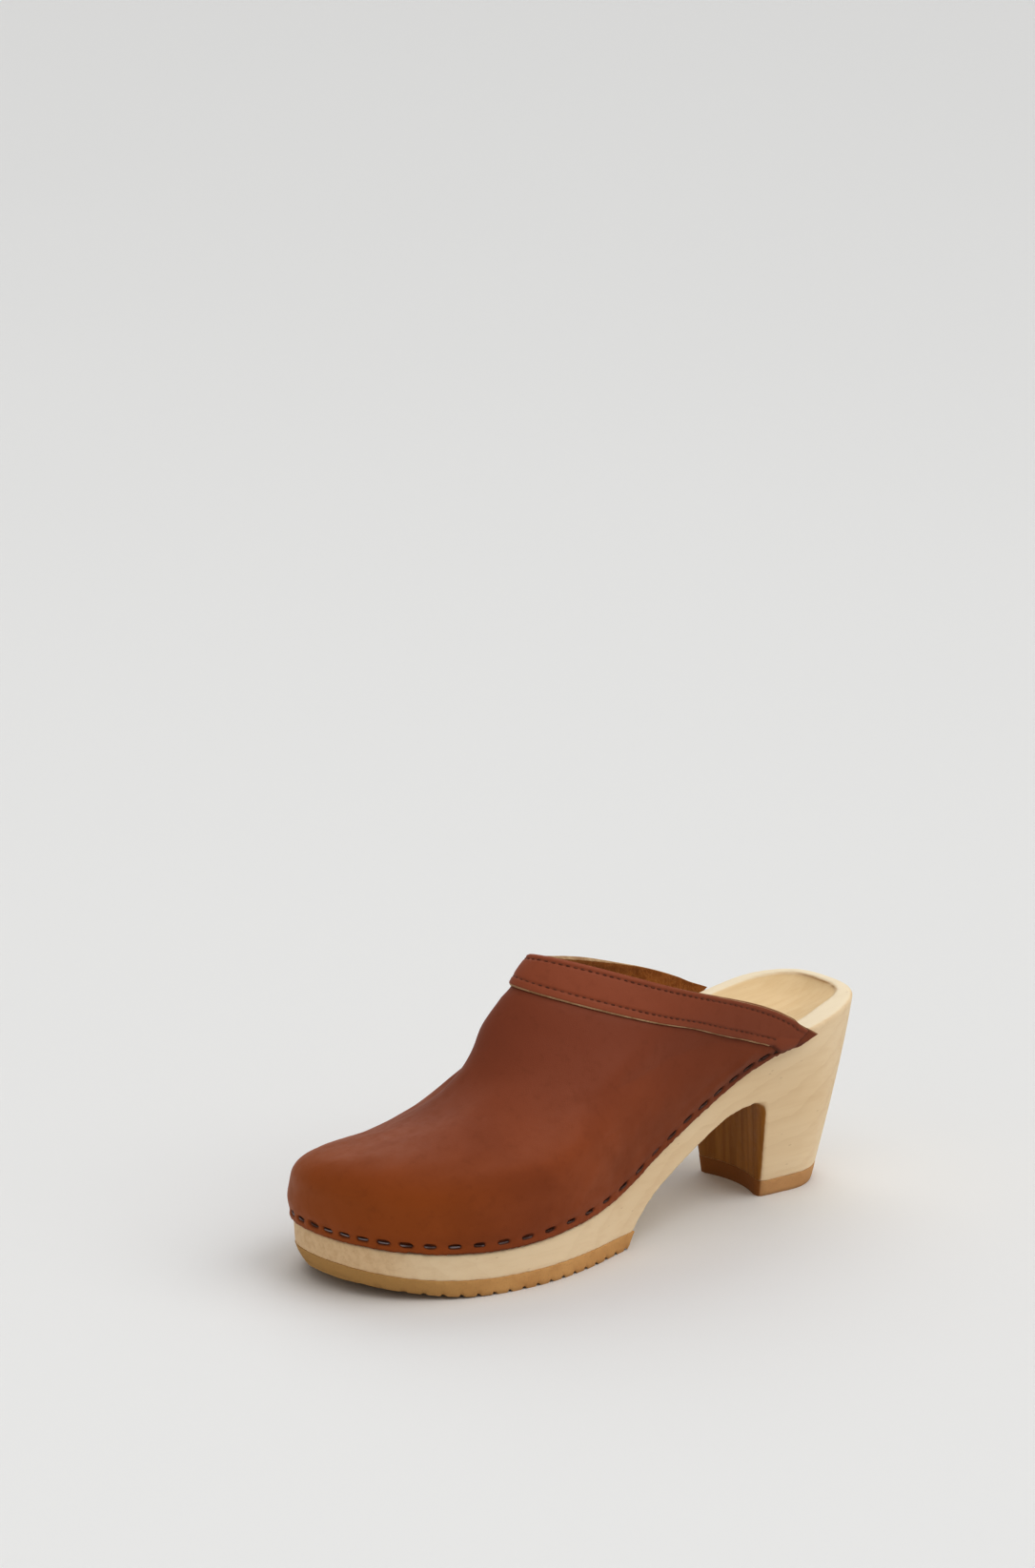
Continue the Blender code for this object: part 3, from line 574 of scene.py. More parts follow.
def rubber_material(name, toe, low, high, heel=False):
    m = Nodes(name)
    cloud = m.noise(55.0, 3.0, 0.55)
    speck = m.noise(1400.0, 3.0, 0.7)
    _, y, z = m.axes(m.place)
    colour = m.mix(m.spread(cloud, 0.3, 0.7), low, high)
    # on the heel lift, faces turned to the front take the first, darker colour: painted shade under the arch
    if heel:
        colour = m.mix(m.spread(m.facing()[1], -0.6, -0.93), colour, toe)
    else:
        colour = m.mix(m.spread(y, -0.06, -0.118), colour, toe)
    colour = m.mix(m.spread(speck, 0.52, 0.75, 0.0, 0.3), colour, tuple(c * 0.6 for c in low))
    low_rim = m.spread(z, 0.0018, 0.0, 0.0, 0.3)
    colour = m.mix(low_rim, colour, tuple(c * 0.45 for c in low))
    normal = m.bump(m.plus(speck, m.times(m.noise(420.0, 2.0), 1.4)), 0.10)
    return m.finish(colour, m.spread(cloud, 0.3, 0.7, 0.72, 0.85), normal, Specular_IOR_Level=0.25)


def wire_material():
    m = Nodes("staple_steel")
    patina = m.noise(420.0, 3.0, 0.6)
    brown = m.spread(m.axes(m.place)[1], -0.095, -0.05, 0.25, 1.0)
    tarnish = m.noise(60.0, 2.0)
    share = m.math("MAXIMUM", m.times(brown, m.spread(patina, 0.3, 0.6, 0.7, 1.0)),
                   m.spread(tarnish, 0.45, 0.55, 0.0, 0.9))
    colour = m.mix(share, (0.31, 0.265, 0.275), (0.080, 0.032, 0.018))
    return m.finish(colour, m.spread(patina, 0.3, 0.7, 0.28, 0.44), m.bump(patina, 0.03), Metallic=0.75)


def thread_material():
    m = Nodes("sewing_thread")
    tone = m.noise(700.0, 3.0, 0.6)
    strands = m.n("ShaderNodeTexWave", {"wave_type": "BANDS", "bands_direction": "DIAGONAL"}, Vector=m.place,
                  Scale=900.0, Distortion=0.6, Detail=1.0).outputs["Fac"]
    colour = m.mix(m.spread(tone, 0.35, 0.65), (0.115, 0.034, 0.016), (0.195, 0.064, 0.031))
    rough = m.spread(tone, 0.3, 0.7, 0.60, 0.72)
    return m.finish(colour, rough, m.bump(strands, 0.05), Specular_IOR_Level=0.3)


def floor_material():
    m = Nodes("studio_floor")
    soft = m.noise(1.1, 2.0)
    colour = m.mix(m.spread(soft, 0.3, 0.7), (0.800, 0.800, 0.796), (0.806, 0.806, 0.802))
    return m.finish(colour, 0.9, m.bump(m.noise(300.0, 2.0), 0.02), Specular_IOR_Level=0.1)


WOOD = wood_material()
HIDE = hide_material("vamp_hide", (0.255, 0.062, 0.015), (0.325, 0.083, 0.022),
                     toe=(0.335, 0.085, 0.008), high=(0.252, 0.066, 0.028))
BAND = hide_material("collar_hide", (0.285, 0.077, 0.032), (0.345, 0.098, 0.043),
                     toe=(0.29, 0.08, 0.035), high=(0.315, 0.087, 0.038))
SUEDE = suede_material()
PALE_EDGE = raw_edge_material("pale_cut_edge", (0.56, 0.40, 0.24), (0.34, 0.175, 0.08), (0.0, 0.7))
DARK_EDGE = raw_edge_material("dark_cut_edge", (0.20, 0.060, 0.020), (0.09, 0.026, 0.011), (0.2, 0.9))
OUTSOLE = rubber_material("outsole_rubber", (0.52, 0.31, 0.115), (0.57, 0.31, 0.12), (0.66, 0.39, 0.165))
# the first colour is painted shade on the lift's front face under the arch
LIFT = rubber_material("heel_rubber", (0.30, 0.115, 0.025), (0.56, 0.32, 0.145), (0.62, 0.365, 0.175),
                       heel=True)
WIRE = wire_material()
THREAD = thread_material()


# ---------------------------------------------------------------- wooden sole
def smooth_corners(points, rounds=3):
    """Cuts the corners of an open polyline, its ends kept."""
    p = np.array(points, float)
    for _ in range(rounds):
        a, b = p[:-1], p[1:]
        mids = np.stack([a * 0.75 + b * 0.25, a * 0.25 + b * 0.75], 1).reshape(-1, 2)
        p = np.vstack([p[:1], mids, p[-1:]])
    return p


def arch_cutter():
    """Everything under the waist, back to the hollowed breast of the heel."""
    slope = (ARCH[1][1] - ARCH[0][1]) / (ARCH[1][0] - ARCH[0][0])
    arch = natural(ARCH)
    under = [(y, float(arch(y))) for y in np.linspace(ARCH[0][0], ARCH[-1][0], 41)]
    profile = smooth_corners(under + BREAST, 2)
    profile = np.vstack([[(ARCH[0][0] - (ARCH[0][1] + 6) / slope, -6.0)], profile])
    stations = [-1] + list(np.linspace(-1.12, 1.12, 81)) + [1]
    y, z = profile.T
    verts = []
    for j, u in enumerate(stations):
        end = j in (0, len(stations) - 1)
        a = min(abs(u), 1.0)
        shift = BREAST_HOLLOW * max(0.0, 1 - (a / 0.8) ** 2)
        over = max(0.0, a * HEEL_HALF - (HEEL_HALF - HEEL_CORNER))
        shift += HEEL_CORNER - math.sqrt(max(HEEL_CORNER ** 2 - over ** 2, 0))
        half = HEEL_HALF + HEEL_SPREAD * np.maximum(z, 0) / SPREAD_OVER
        x = HEEL_AT[0] + (u * 70 + 0 * z if end else u * half)
        tilt = -math.tan(math.radians(-HEEL_TURN)) * (u * HEEL_HALF * 1.12 if end else u * half)
        verts.append(np.c_[x, y + ease(48, 62, y) * (tilt + shift), z])
    n = len(profile)
    return make("arch_cutter", np.vstack(verts), closed_tube(np.arange(len(stations) * n).reshape(-1, n)), [])


def prism(name, corners, x0, x1):
    """Prism over a polygon in the Y-Z plane."""
    n = len(corners)
    verts = [(x0, y, z) for y, z in corners] + [(x1, y, z) for y, z in corners]
    faces = [tuple(range(n)), tuple(range(n, 2 * n))]
    return make(name, verts, faces + [(i, (i + 1) % n, n + (i + 1) % n, n + i) for i in range(n)], [])


DISH_FRONT, DISH_HEEL = 2.4, 4.0
SOLE_CELL = 0.62        # cell of the even mesh that the finished block gets


def sole_piece():
    """The wooden block: flat rim, dished footbed, step for the leather, arched waist and heel."""
    r = Rings(220)
    low = RUBBER + spring(r.floor[:, 1])
    inner_edge = (0, 0.5), (-0.15, 0.25), (-0.5, 0.05)
    outer_edge = (1.4, 0.0), (0.8, 0.12), (0.3, 0.45), (0, 1.1)
    rings = [r.outline(r.width + inset, r.rim - down) for inset, down in inner_edge]
    rings += [r.outline(r.width * share, r.rim) for share in (0.75, 0.4)]
    rings += [r.outline(0 * r.s + inset, r.rim - down) for inset, down in outer_edge]
    foot = r.outline(0 * r.s, r.step + 1.6 * (1 - r.stepped))
    keep = r.stepped[:, None]
    foot[:, :2] = foot[:, :2] * keep + r.wall(foot[:, 2])[:, :2] * (1 - keep)
    rings.append(foot)
    rings += [r.wall(r.step * (1 - w) + low * w) for w in np.linspace(0, 0.94, 9)]
    rings.append(r.wall(low - 0.3))

    def footbed(q, u, k):
        depth = DISH_FRONT + (DISH_HEEL - DISH_FRONT) * ease(50, 90, q[..., 1])
        fade = ease(0, 7, np.minimum(k, r.half - k) * CAD_HALF / r.half)
        return rim_height(q) - 0.5 - depth * fade * np.sin(math.pi * u) ** 1.25

    verts, faces = plan_body(rings, r.half, 48, footbed, lambda q, u, k: RUBBER - 0.3 + spring(q[..., 1]))
    obj = make("sole_wood_block", verts, faces, [WOOD])
    arch = arch_cutter()
    cut(obj, arch)
    mod = obj.modifiers.new("even", "REMESH")
    mod.mode, mod.voxel_size, mod.adaptivity = "VOXEL", SOLE_CELL * MM, 0.0
    bake_modifiers(obj)
    relax(obj.data, 3)
    if not obj.data.materials:
        obj.data.materials.append(WOOD)
    obj.data.shade_smooth()
    p = coords(obj.data)
    inside = plan.inset(p[:, :2]) - RABBET * (1 - ease(58, 80, p[:, 1]))
    up = np.array([n.vector[2] for n in obj.data.vertex_normals])
    down = rim_height(p) - p[:, 2]
    add_value(obj.data, "dish", ease(0.15, 0.6, down) * (inside > 1.9) * (up > 0.2) * (down < 9))
    add_value(obj.data, "rim", (1 - ease(0.15, 0.6, down)) * ease(0.75, 0.95, up))
    drop(arch)
    return obj


# ---------------------------------------------------------------- rubber soles
GROOVE_PITCH, GROOVE_WIDE, GROOVE_DEEP = 6.0, 1.5, 0.9


def groove(y):
    """Depth of the tread's cross grooves at y."""
    away = np.abs((np.asarray(y, float) / GROOVE_PITCH + 0.35) % 1 - 0.5) * GROOVE_PITCH
    return GROOVE_DEEP * (1 - ease(GROOVE_WIDE * 0.25, GROOVE_WIDE * 0.75, away))


def rubber_piece(name, mat, tread):
    """Rubber sheet under the whole foot, cut to length later. tread is 1 for notches along its edge, 0 for the
    heel's shallow grooves inside its edge."""
    r = Rings(560)
    lift = spring(r.floor[:, 1])

    def rough(ring, amount, seed):
        return ring + np.c_[r.out, 0 * r.s] * (field(ring, 3.0, seed) * amount)[:, None]

    notch = groove(r.floor[:, 1]) * tread
    rings = [r.wall(RUBBER + lift) - np.c_[r.out * 0.05, 0 * r.s]]
    rings += [rough(r.wall(z + lift) + np.c_[r.out * 0.12, 0 * r.s], 0.06, 11 + k)
              for k, z in enumerate((RUBBER - 0.2, 4.6, 3.2, 1.8))]
    low = rough(r.wall(0.75 + lift + notch * 0.75), 0.10, 19)
    low[:, :2] -= r.out * (notch * 0.25)[:, None]
    base = r.wall(lift + notch)
    base[:, :2] -= r.out * (0.25 + notch * 0.2)[:, None]
    base[:, 2] += 0.05 * (1 + field(base, 2.5, 5)) * 0.5
    rings += [low, base]

    def under(q, u, k):
        inner = groove(q[..., 1]) * tread
        if not tread:
            inset, y = np.minimum(u, 1 - u) * 2, q[..., 1]
            inner = groove(y) * 0.7 * ease(0.22, 0.30, inset) * ease(71, 73, y) * (1 - ease(92, 94, y))
        return spring(q[..., 1]) + inner

    verts, faces = plan_body(rings, r.half, 26, lambda q, u, k: RUBBER + spring(q[..., 1]), under)
    return make(name, verts, faces, [mat], sharp=50)


def rubber_soles():
    """The front outsole, cut at a slant at its rear end, and the heel's lift, cut to the heel block."""
    slant = [(-14.7, -8), (-10.2, 0), (-6.6, 6), (-2.2, 13), (-2.2, 60)]
    rear = prism("rear_cutter", slant + [(160, 60), (160, -8)], -70, 70)
    front = prism("front_cutter", [(-160, -8), (-160, 60), (20, 60), (20, -8)], -70, 70)
    arch = arch_cutter()
    outsole = rubber_piece("outsole_rubber_sheet", OUTSOLE, 1)
    cut(outsole, rear)
    lift = rubber_piece("heel_rubber_lift", LIFT, 0)
    cut(lift, front)
    cut(lift, arch)
    for obj, mat in ((outsole, OUTSOLE), (lift, LIFT)):
        bake_modifiers(obj)
        obj.data.materials.clear()
        obj.data.materials.append(mat)
        obj.data.polygons.foreach_set("material_index", np.zeros(len(obj.data.polygons), np.int32))
        obj.data.shade_smooth()
        obj.data.set_sharp_from_angle(angle=math.radians(45))
    drop(rear, front, arch)
    return outsole, lift


# ---------------------------------------------------------------- leather upper
FEET = [0.0 if y is None else plan.at_y(y, -1 if f > 0 else 1) for f, y in zip(STATIONS, FOOT_Y)]
foot_length = natural(np.c_[STATIONS, FEET])
_dense = np.linspace(-1, 1, 401)
_run = foot_length(_dense)


def station_at(s):
    """Station whose curve starts at length s along the sole's edge."""
    return np.interp(s, _run[::-1], _dense[::-1])


def upper_grid(stations, rows):
    """Points and outward normals of the upper's outer face. rows are shares of each curve from the edge up,
    one list for all stations or one list each."""
    s = foot_length(stations)
    p, n = plan(s), plan.outward(s)
    proud = PROUD[0] + (PROUD[1] - PROUD[0]) * ease(35, 75, p[:, 1])
    foot = np.c_[p + n * proud[:, None], step_top(p[:, 1]) + 0.3]
    top, inward, upward = (np.stack([natural(np.c_[STATIONS, c])(stations) for c in np.array(t).T], 1)
                           for t in (TOPLINE, INWARD, UPWARD))
    swell = natural(np.c_[STATIONS, SWELL])(stations)
    places, fine = np.linspace(0, 1, 9), np.linspace(0, 1, 241)
    rows = np.broadcast_to(rows, (len(stations), np.shape(rows)[-1]))
    grid, total = np.zeros((*rows.shape, 3)), np.zeros((len(stations), 1))
    for i in range(len(stations)):
        h, z = natural(np.c_[places, inward[i]])(fine), natural(np.c_[places, upward[i]])(fine)
        rise = (top[i, 2] - foot[i, 2]) * z
        h = h * (1 - (1 - ease(4, 15, rise)) * (1 - ease(0.75, 1, abs(stations[i]))))
        out = swell[i] * np.sin(np.pi * np.clip(fine / .62, 0, 1)) ** 1.2
        across = foot[i, :2] + (top[i, :2] - foot[i, :2]) * h[:, None] + n[i] * out[:, None]
        q = np.c_[across, foot[i, 2] + rise]
        total[i] = resample(q)[-1]
        grid[i] = resample(q, rows[i] * total[i])
    du, dt = np.gradient(grid, axis=0), np.gradient(grid, axis=1)
    normal = unit(np.cross(dt, du))
    normal *= np.sign((normal[:, 0, :2] * n).sum())
    # the leather is drawn in a little under the band, most over the instep
    below_top, f = (1 - rows) * total, np.abs(np.asarray(stations, float))[:, None]
    front = np.exp(-((np.asarray(stations, float)[:, None] - 0.05) / 0.17) ** 2)
    drawn = 0.55 * (1 - ease(15, 19, below_top)) * (1 - ease(0.78, 0.9, f))
    drawn = drawn + 0.85 * front * (1 - ease(10, 27, below_top))
    return grid - normal * drawn[..., None], normal


def curve_lengths(stations):
    grid, _ = upper_grid(stations, np.linspace(0, 1, 61))
    return np.array([resample(g)[-1] for g in grid])


_inner_at, _outer_at = natural(STAPLES_INNER), natural(STAPLES_OUTER)
PLACES = [-float(_inner_at(k)) for k in range(24, -1, -1)] + [float(_outer_at(k)) for k in range(26)]
SLOT_UP, SLOT_HALF, SLOT_TALL = 2.95, 2.4, 1.0
WIRE_UP = 2.65
_slots = np.random.default_rng(77).normal(size=(len(PLACES), 4)) * (0.12, 0.14, 0.12, 0.07)


def slot_depth(s, up):
    """How far the leather is pressed in at length s and height up above its lower edge: a small uneven hole
    round each staple, in a shallow furrow."""
    gap = np.asarray(s)[..., None] - PLACES
    near = np.argmin(np.abs(gap), axis=-1)
    away = np.take_along_axis(gap, near[..., None], -1)[..., 0]
    high, wide, deep, lean = (_slots[near, k] for k in range(4))
    x, y = away / (SLOT_HALF + wide), (up - SLOT_UP - high - lean * away) / (SLOT_TALL + 0.5 * wide)
    hole = 1 - ease(0.5, 1.4, np.abs(x) ** 3 + np.abs(y) ** 2.5)
    pull = np.exp(-((up - 3.1) / 2.0) ** 2) * (0.5 + 0.5 * (1 - ease(2.2, 5.0, np.abs(away))))
    return (0.85 + deep) * hole + 0.35 * pull


def upper_piece():
    """The leather upper, its lower edge uneven and pressed in round the staples."""
    count, rows, step = 841, 115, 3
    s = np.linspace(foot_length(-1.0), foot_length(1.0), count)
    f = station_at(s)
    f[0], f[-1] = -1.0, 1.0
    length = curve_lengths(f)
    u = np.linspace(0, 1, rows)
    dense = np.minimum(length, 34.0)[:, None]
    up = dense * u + (length[:, None] - dense) * u ** 2
    grid, normal = upper_grid(f, up / length[:, None])
    below_top = length[:, None] - up
    rear = ease(10, 50, grid[..., 1])
    shape = 0.20 * field(grid, 26, 3) * ease(8, 22, up) * ease(14, 34, below_top)
    shape += 0.07 * field(grid, 9, 4) * ease(7, 15, up) * ease(14, 30, below_top)
    shape -= slot_depth(s[:, None] + 0 * up, up)
    # a soft swell just above the staples, over before the band's rear ends
    swell = (0.25 + 0.55 * rear) * np.exp(-((up - 8.0) / 3.2) ** 2) * ease(2, 10, below_top)
    shape += swell * (1 - ease(0.78, 0.845, np.abs(f)))[:, None]
    shape += 1.3 * np.exp(-((below_top - 31) / 8) ** 2 - ((f[:, None] - 0.08) / 0.13) ** 2)
    margin = 1 - ease(0.0, 0.9, up)
    shape -= 0.25 * margin ** 2
    shape += 0.07 * field(grid, 1.6, 7) * (1 - ease(0.5, 3.0, up))
    for y, z, wide, long, deep, turn in CREASES:
        dy, dz = grid[..., 1] - y, grid[..., 2] - z
        a = math.radians(turn)
        p = dy * math.cos(a) + dz * math.sin(a)
        q = -dy * math.sin(a) + dz * math.cos(a) + 0.05 * (dy ** 2) / long * 2
        shape -= deep * np.exp(-(q / wide) ** 2 - (p / long) ** 4) * (grid[..., 0] > 0)
    outer = grid + normal * shape[..., None]
    ragged = (0.10 * field(grid, 1.8, 8) + 0.10 * field(grid, 7, 18)) * (1 - ease(0.0, 1.6, up))
    outer[..., 2] += ragged
    inner = grid - normal * (LEATHER - 0.7 * (1 - ease(1, 9, below_top)))[..., None]
    inner = inner[:, ::step] + normal[:, ::step] * (0.12 * field(inner[:, ::step], 5, 9))[..., None]
    obj = sheet("upper_leather_shell", outer, inner, [HIDE, SUEDE, PALE_EDGE, DARK_EDGE, DARK_EDGE],
                bulge=(0.12, 0.12))
    # painted shade in the staple holes, in the furrow along the staples at the rear and in a line just past the
    # band's ends; the dark burnt lower edge is real
    press = np.clip(slot_depth(s[:, None] + 0 * up, up), 0, 1)
    painted_darkening = 0.9 * ease(0.35, 0.95, press) + 0.35 * (1 - ease(0.1, 0.9, up))
    painted_darkening = painted_darkening + 0.55 * rear * np.exp(-((up - 2.6) / 1.5) ** 2)
    painted_darkening = painted_darkening + 0.8 * np.exp(-((np.abs(f) - BAND_END - 0.004) / 0.01) ** 2)[:, None]
    add_value(obj.data, "burn_and_shade", np.clip(painted_darkening, 0, 1))
    add_value(obj.data, "raw", (1 - ease(0.35, 0.6, below_top)) * ease(0.4, 0.6, np.abs(f))[:, None])
    return obj


# short soft creases on the outer side: y and z of the middle, half width, half length and depth in mm, and turn
# in degrees
CREASES = [(-24, 50, 0.9, 6.0, 0.14, 8), (-16, 56, 1.0, 8.0, 0.09, -20), (8, 62, 1.6, 16.0, 0.10, 38),
           (-38, 44, 1.6, 11.0, 0.08, 15)]


# ---------------------------------------------------------------- collar band, its stitches and the staples
BAND_END, REAR_MARGIN = 0.95, 2.3
STITCH_PITCH, STITCH_LONG, THREAD_RADIUS = 2.75, 1.6, 0.23
WIRE_HALF = (0.36, 0.30)        # half width and half thickness of the staples' flattened wire


def band_width(stations, length):
    """Narrower over the instep; at the rear ends the band is cut along the row of staples."""
    full = BAND_WIDTH - 3.4 * np.exp(-((np.asarray(stations) - 0.1) / 0.17) ** 2)
    full = full - 2.0 * ease(0.62, 0.84, np.abs(stations))
    room = np.maximum(length - REAR_MARGIN, 0.5)
    return full - np.logaddexp(0, (full - room) / 0.7) * 0.7


def rear_end(stations):
    """0 along most of the band, 1 near its rear ends, where its lower edge is pressed flat."""
    return ease(0.845, 0.885, np.abs(stations))


def down_from_top(stations, distances, fine=141):
    """Points and normals on the upper's face at given distances below the topline, a list per station."""
    grid, normal = upper_grid(stations, np.linspace(0, 1, fine))
    points, normals = [], []
    for g, n, want in zip(grid[:, ::-1], normal[:, ::-1], distances):
        s = resample(g)
        points.append(np.stack([np.interp(want, s, c) for c in g.T], 1))
        normals.append(unit(np.stack([np.interp(want, s, c) for c in n.T], 1)))
    return np.array(points), np.array(normals)


def band_skin(down, width, stations):
    """Height of the band's outer face over the upper: puffed between its rows of sewing."""
    full = band_width(stations, np.full(np.shape(stations), 99.0))[:, None]
    end = rear_end(stations)[:, None]
    skin = BAND_THICK + 0.32 * np.sin(math.pi * np.clip(down / width, 0, 1)) ** 0.7
    lower_share = ease(3.0, 5.0, width - full + LOW_ROW + 3.2) * (1 - end)
    for row, share in ((TOP_ROW, 1), (full - LOW_ROW, lower_share)):
        skin = skin - 0.30 * share * np.exp(-((down - row) / 0.55) ** 2)
    skin = skin - 0.45 * (1 - ease(0.3, 1.2, down)) ** 2
    skin = skin - 0.2 * (1 - end) * (1 - ease(0.0, 0.5, width - down)) ** 2
    round_off = np.clip(1 - (width - down) / 3.6, 0, 1)
    return skin - end * (skin - 0.15) * (1 - np.sqrt(np.clip(1 - round_off ** 2, 0, 1)))


def band_piece():
    """The strip sewn round the mouth of the upper, a little puffed, its rear ends pressed flat."""
    count, rows, step = 721, 53, 4
    f = np.linspace(-BAND_END, BAND_END, count)
    length = curve_lengths(f)
    width = band_width(f, length)
    start = (0.15 + 0.35 * ease(0.35, 0.6, np.abs(f)))[:, None]
    down = start + np.linspace(0, 1, rows)[None] * (width[:, None] - start)
    base, normal = down_from_top(f, down)
    skin = band_skin(down, width[:, None], f)
    skin = skin + 0.05 * field(base, 7, 21) + 0.08 * field(base, 30, 22)
    outer = base + normal * skin[..., None]
    reach = width + 0.5 * (1 - rear_end(f))
    below = start + np.linspace(0, 1, (rows - 1) // step + 1)[None] * (reach[:, None] - start)
    under, under_normal = down_from_top(f, below)
    gap = 0.04 + 0.42 * (1 - ease(0.0, 3.0, reach[:, None] - below)) * (1 - rear_end(f))[:, None]
    inner = under + under_normal * gap[..., None]
    # the cut ends and, at the rear ends, the lower edge take the dark edge colour: painted shade where they
    # turn away from the light
    obj = sheet("collar_band_strip", outer, inner, [BAND, SUEDE, PALE_EDGE, PALE_EDGE, DARK_EDGE],
                bulge=(0.05, 0.12), dark=rear_end(f) > 0.5)
    full, end = band_width(f, np.full(count, 99.0))[:, None], rear_end(f)[:, None]
    # painted shade along both rows of sewing and along the lower edge at the rear ends
    painted_darkening = 0.25 * np.exp(-((down - TOP_ROW) / 0.5) ** 2)
    painted_darkening = painted_darkening + 0.25 * (1 - end) * np.exp(-((down - full + LOW_ROW) / 0.5) ** 2)
    painted_darkening = painted_darkening + 0.8 * end * (1 - ease(0.2, 1.6, width[:, None] - down))
    add_value(obj.data, "burn_and_shade", painted_darkening)
    return obj


def stitch_row(name, limit, from_top):
    """A row of single stitches, each a short thread whose ends dip into the leather."""
    f = np.linspace(-limit, limit, 1201)
    length = curve_lengths(f[::12])
    length = np.interp(f, f[::12], length)
    width = band_width(f, length)
    down = (TOP_ROW + 0 * f if from_top else band_width(f, 0 * f + 99.0) - LOW_ROW)[:, None]
    base, normal = down_from_top(f, down)
    path = (base + normal * band_skin(down, width[:, None], f)[..., None])[:, 0]
    normal = normal[:, 0]
    run = resample(path)
    sides, along = 8, 9
    rng = np.random.default_rng(31 if from_top else 32)
    verts, faces, start = [], [], 0
    for k in range(int(run[-1] // STITCH_PITCH)):
        t = np.linspace(0, 1, along)
        at = k * STITCH_PITCH + 0.5 + rng.normal(0, 0.06) + t * (STITCH_LONG + rng.normal(0, 0.08))
        p = np.stack([np.interp(at, run, c) for c in path.T], 1)
        n = unit(np.stack([np.interp(at, run, c) for c in normal.T], 1))
        p = p + n * (0.26 * np.sin(math.pi * t) ** 0.7 - 0.14 + rng.normal(0, 0.02))[:, None]
        tangent = unit(np.gradient(p, axis=0))
        side = unit(np.cross(tangent, n))
        lift = np.cross(side, tangent)
        radius = THREAD_RADIUS * np.sqrt(np.clip(1 - (2 * t - 1) ** 6, 0.12, 1))
        angle = np.arange(sides) * 2 * math.pi / sides
        ring = p[:, None] + radius[:, None, None] * (side[:, None] * np.cos(angle)[None, :, None]
                                                     + lift[:, None] * np.sin(angle)[None, :, None])
        number = np.arange(start, start + along * sides).reshape(along, sides)
        verts.append(ring.reshape(-1, 3))
        faces += closed_tube(number)
        start += along * sides
    return make(name, np.vstack(verts), faces, [THREAD])


def staple_piece(name, s, seed):
    """A flattened wire crown lying in its slot, its two ends bent down into the leather."""
    rng = np.random.default_rng(seed)
    turn, sink = rng.normal(0, 0.06), rng.normal(0, 0.10)
    length = np.array([-2.08, -2.05, -1.95, -1.7, -1.2, -0.4, 0.4, 1.2, 1.7, 1.95, 2.05, 2.08])
    depth = np.array([-2.2, -1.4, -1.05, -0.82, -0.70, -0.66, -0.66, -0.70, -0.82, -1.05, -1.4, -2.2]) + sink
    f = station_at(s + length)
    curve = curve_lengths(f)
    up = WIRE_UP + turn * length
    grid, normal = upper_grid(f, (up / curve)[:, None] + np.array([[-0.002, 0.0, 0.002]]))
    p, m = grid[:, 1], normal[:, 1]
    p = p + m * depth[:, None]
    tangent = unit(np.gradient(p, axis=0))
    across = unit(grid[:, 2] - grid[:, 0])
    outward = unit(np.cross(tangent, across))
    sides = 10
    angle = (np.arange(sides) + 0.5) * 2 * math.pi / sides
    ca, sa = np.cos(angle), np.sin(angle)
    squarish = (np.abs(ca) ** 4 + np.abs(sa) ** 4) ** -0.25
    ring = p[:, None] + (across[:, None] * (WIRE_HALF[0] * ca * squarish)[None, :, None]
                         + outward[:, None] * (WIRE_HALF[1] * sa * squarish)[None, :, None])
    faces = closed_tube(np.arange(len(length) * sides).reshape(-1, sides))
    return make(name, ring.reshape(-1, 3), faces, [WIRE])


# ---------------------------------------------------------------- the clog
def place(obj, slot, *nodes):
    """Puts a finished piece in the model in the place of its CAD nodes."""
    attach(obj, "root")
    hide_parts(*nodes)


place(sole_piece(), "sole_wood", "wooden_sole")
outsole, lift = rubber_soles()
place(outsole, "front_rubber", "front_outsole")
place(lift, "heel_rubber", "heel_top_lift")
place(upper_piece(), "upper_leather", "leather_upper")
place(band_piece(), "band_leather", "collar_band")
place(stitch_row("collar_stitches_top", 0.925, True), "thread", "stitching_top")
place(stitch_row("collar_stitches_lower", 0.875, False), "thread", "stitching_lower")
for k, s in enumerate(PLACES):
    place(staple_piece(f"staple_wire_{k + 1:02d}", s, 100 + k), "staple_wire", f"staple_{k + 1:02d}")

# ---------------------------------------------------------------- studio
FLOOR_HALF = 9      # metres

corners = [(x * FLOOR_HALF, y * FLOOR_HALF, 0) for x, y in ((-1, -1), (1, -1), (1, 1), (-1, 1))]
floor_mesh = bpy.data.meshes.new("studio_floor")
floor_mesh.from_pydata(corners, [], [(0, 1, 2, 3)])
floor_mesh.materials.append(floor_material())
floor = link(bpy.data.objects.new("studio_floor", floor_mesh))


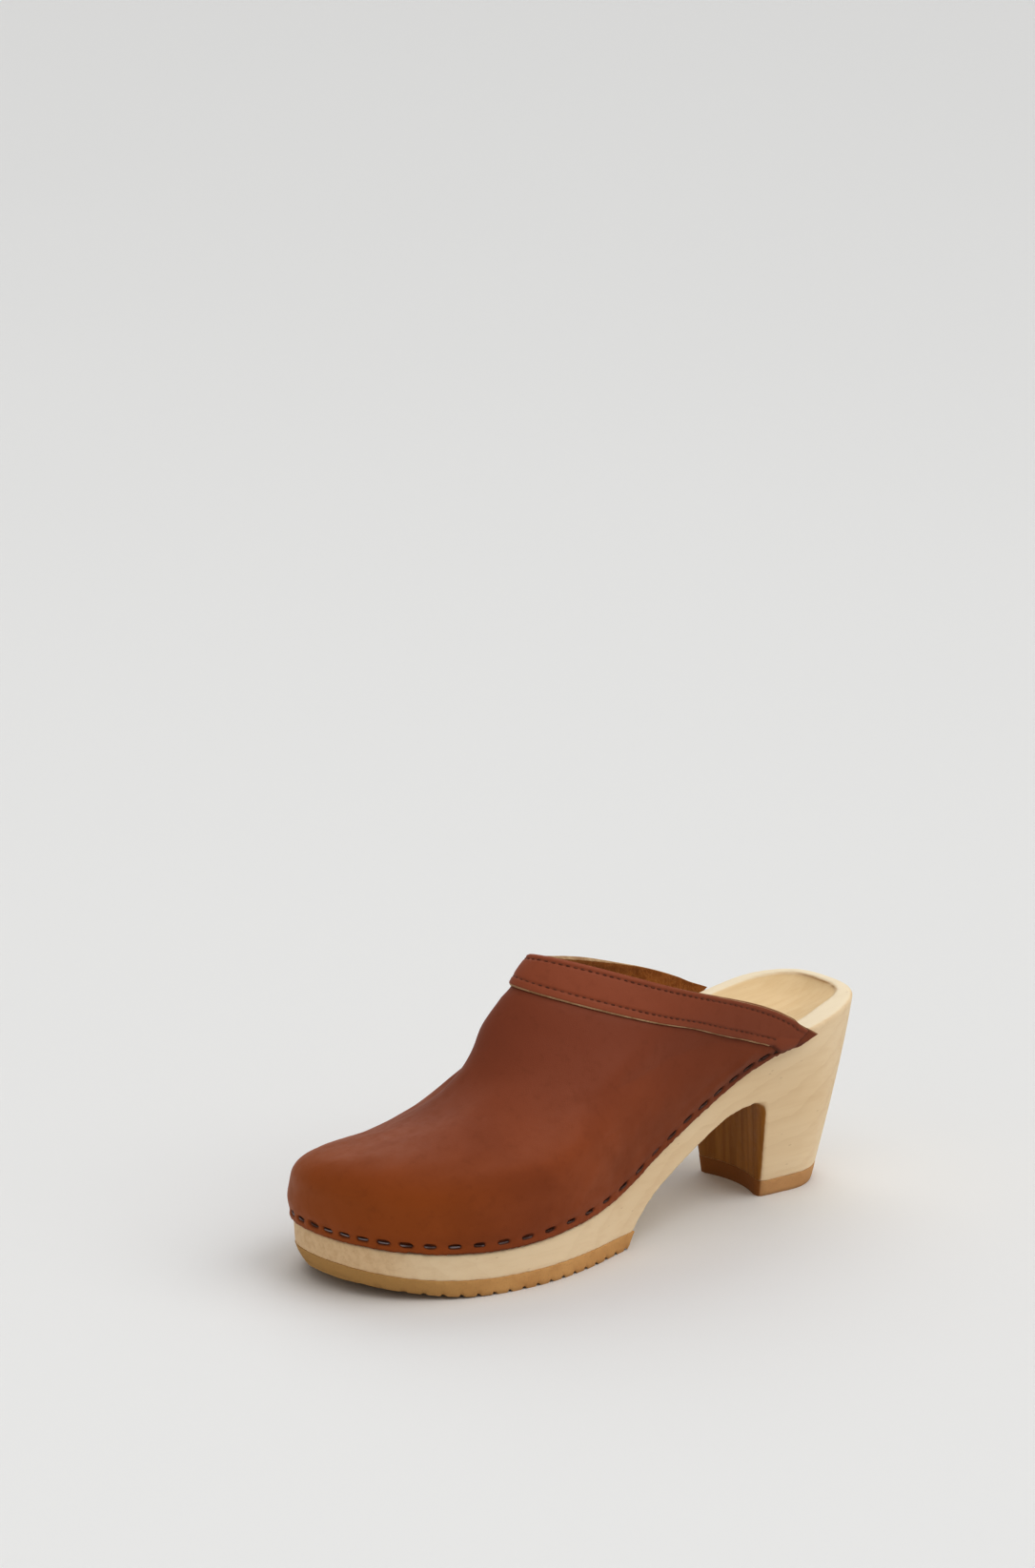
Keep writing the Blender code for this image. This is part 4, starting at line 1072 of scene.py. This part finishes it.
def basis(azimuth, elevation, roll=0.0):
    """Rotation whose Z points back from what is looked at, azimuth 0 looking along +Y."""
    a, e, r = (math.radians(v) for v in (azimuth, elevation, roll))
    back = Vector((math.sin(a) * math.cos(e), -math.cos(a) * math.cos(e), math.sin(e)))
    right = Vector((math.cos(a), math.sin(a), 0))
    up = back.cross(right)
    right, up = right * math.cos(r) + up * math.sin(r), up * math.cos(r) - right * math.sin(r)
    return Matrix((right, up, back)).transposed()


camera_data = bpy.data.cameras.new("camera")
camera_data.lens, camera_data.sensor_width, camera_data.sensor_fit = 144.13, 36.0, "AUTO"
camera_data.clip_start, camera_data.clip_end = 0.1, 30.0
camera = link(bpy.data.objects.new("camera", camera_data))
camera.matrix_world = Matrix.Translation((1.69648, -1.37217, 0.7576)) @ basis(51.666, 15.162, -0.176).to_4x4()
bpy.context.scene.camera = camera


def area_light(name, azimuth, elevation, distance, size, power, colour=(1, 1, 1)):
    """A soft square light aimed at the clog from the given side."""
    data = bpy.data.lights.new(name, "AREA")
    data.shape, data.size, data.energy, data.color = "SQUARE", size, power, colour
    turn = basis(azimuth, elevation)
    aim = Vector((0, 0, 0.05))
    place_at = Matrix.Translation(aim + turn.col[2] * distance) @ turn.to_4x4()
    link(bpy.data.objects.new(name, data)).matrix_world = place_at


def sky_light(name, azimuth, elevation, power, spread, colour):
    """Even light from a wide patch of sky or wall, the same everywhere on the floor."""
    data = bpy.data.lights.new(name, "SUN")
    data.energy, data.angle, data.color = power, math.radians(spread), colour
    link(bpy.data.objects.new(name, data)).matrix_world = basis(azimuth, elevation).to_4x4()


sky_light("key_sky", 128, 48, 1.02, 55, (1.0, 0.995, 0.985))
sky_light("window_behind", 236, 44, 0.70, 50, (0.99, 0.995, 1.0))
sky_light("low_front_fill", 5, 14, 0.24, 70, (1.0, 0.99, 0.97))
area_light("overhead_softbox", 80, 76, 2.6, 2.4, 13, (1.0, 0.997, 0.99))
world = bpy.data.worlds.new("studio")
world.use_nodes = True
world.node_tree.nodes["Background"].inputs[0].default_value = (1.0, 0.998, 0.994, 1)
world.node_tree.nodes["Background"].inputs[1].default_value = 0.475
bpy.context.scene.world = world
bpy.context.scene.view_settings.view_transform = "Standard"
bpy.context.scene.view_settings.gamma = 0.80
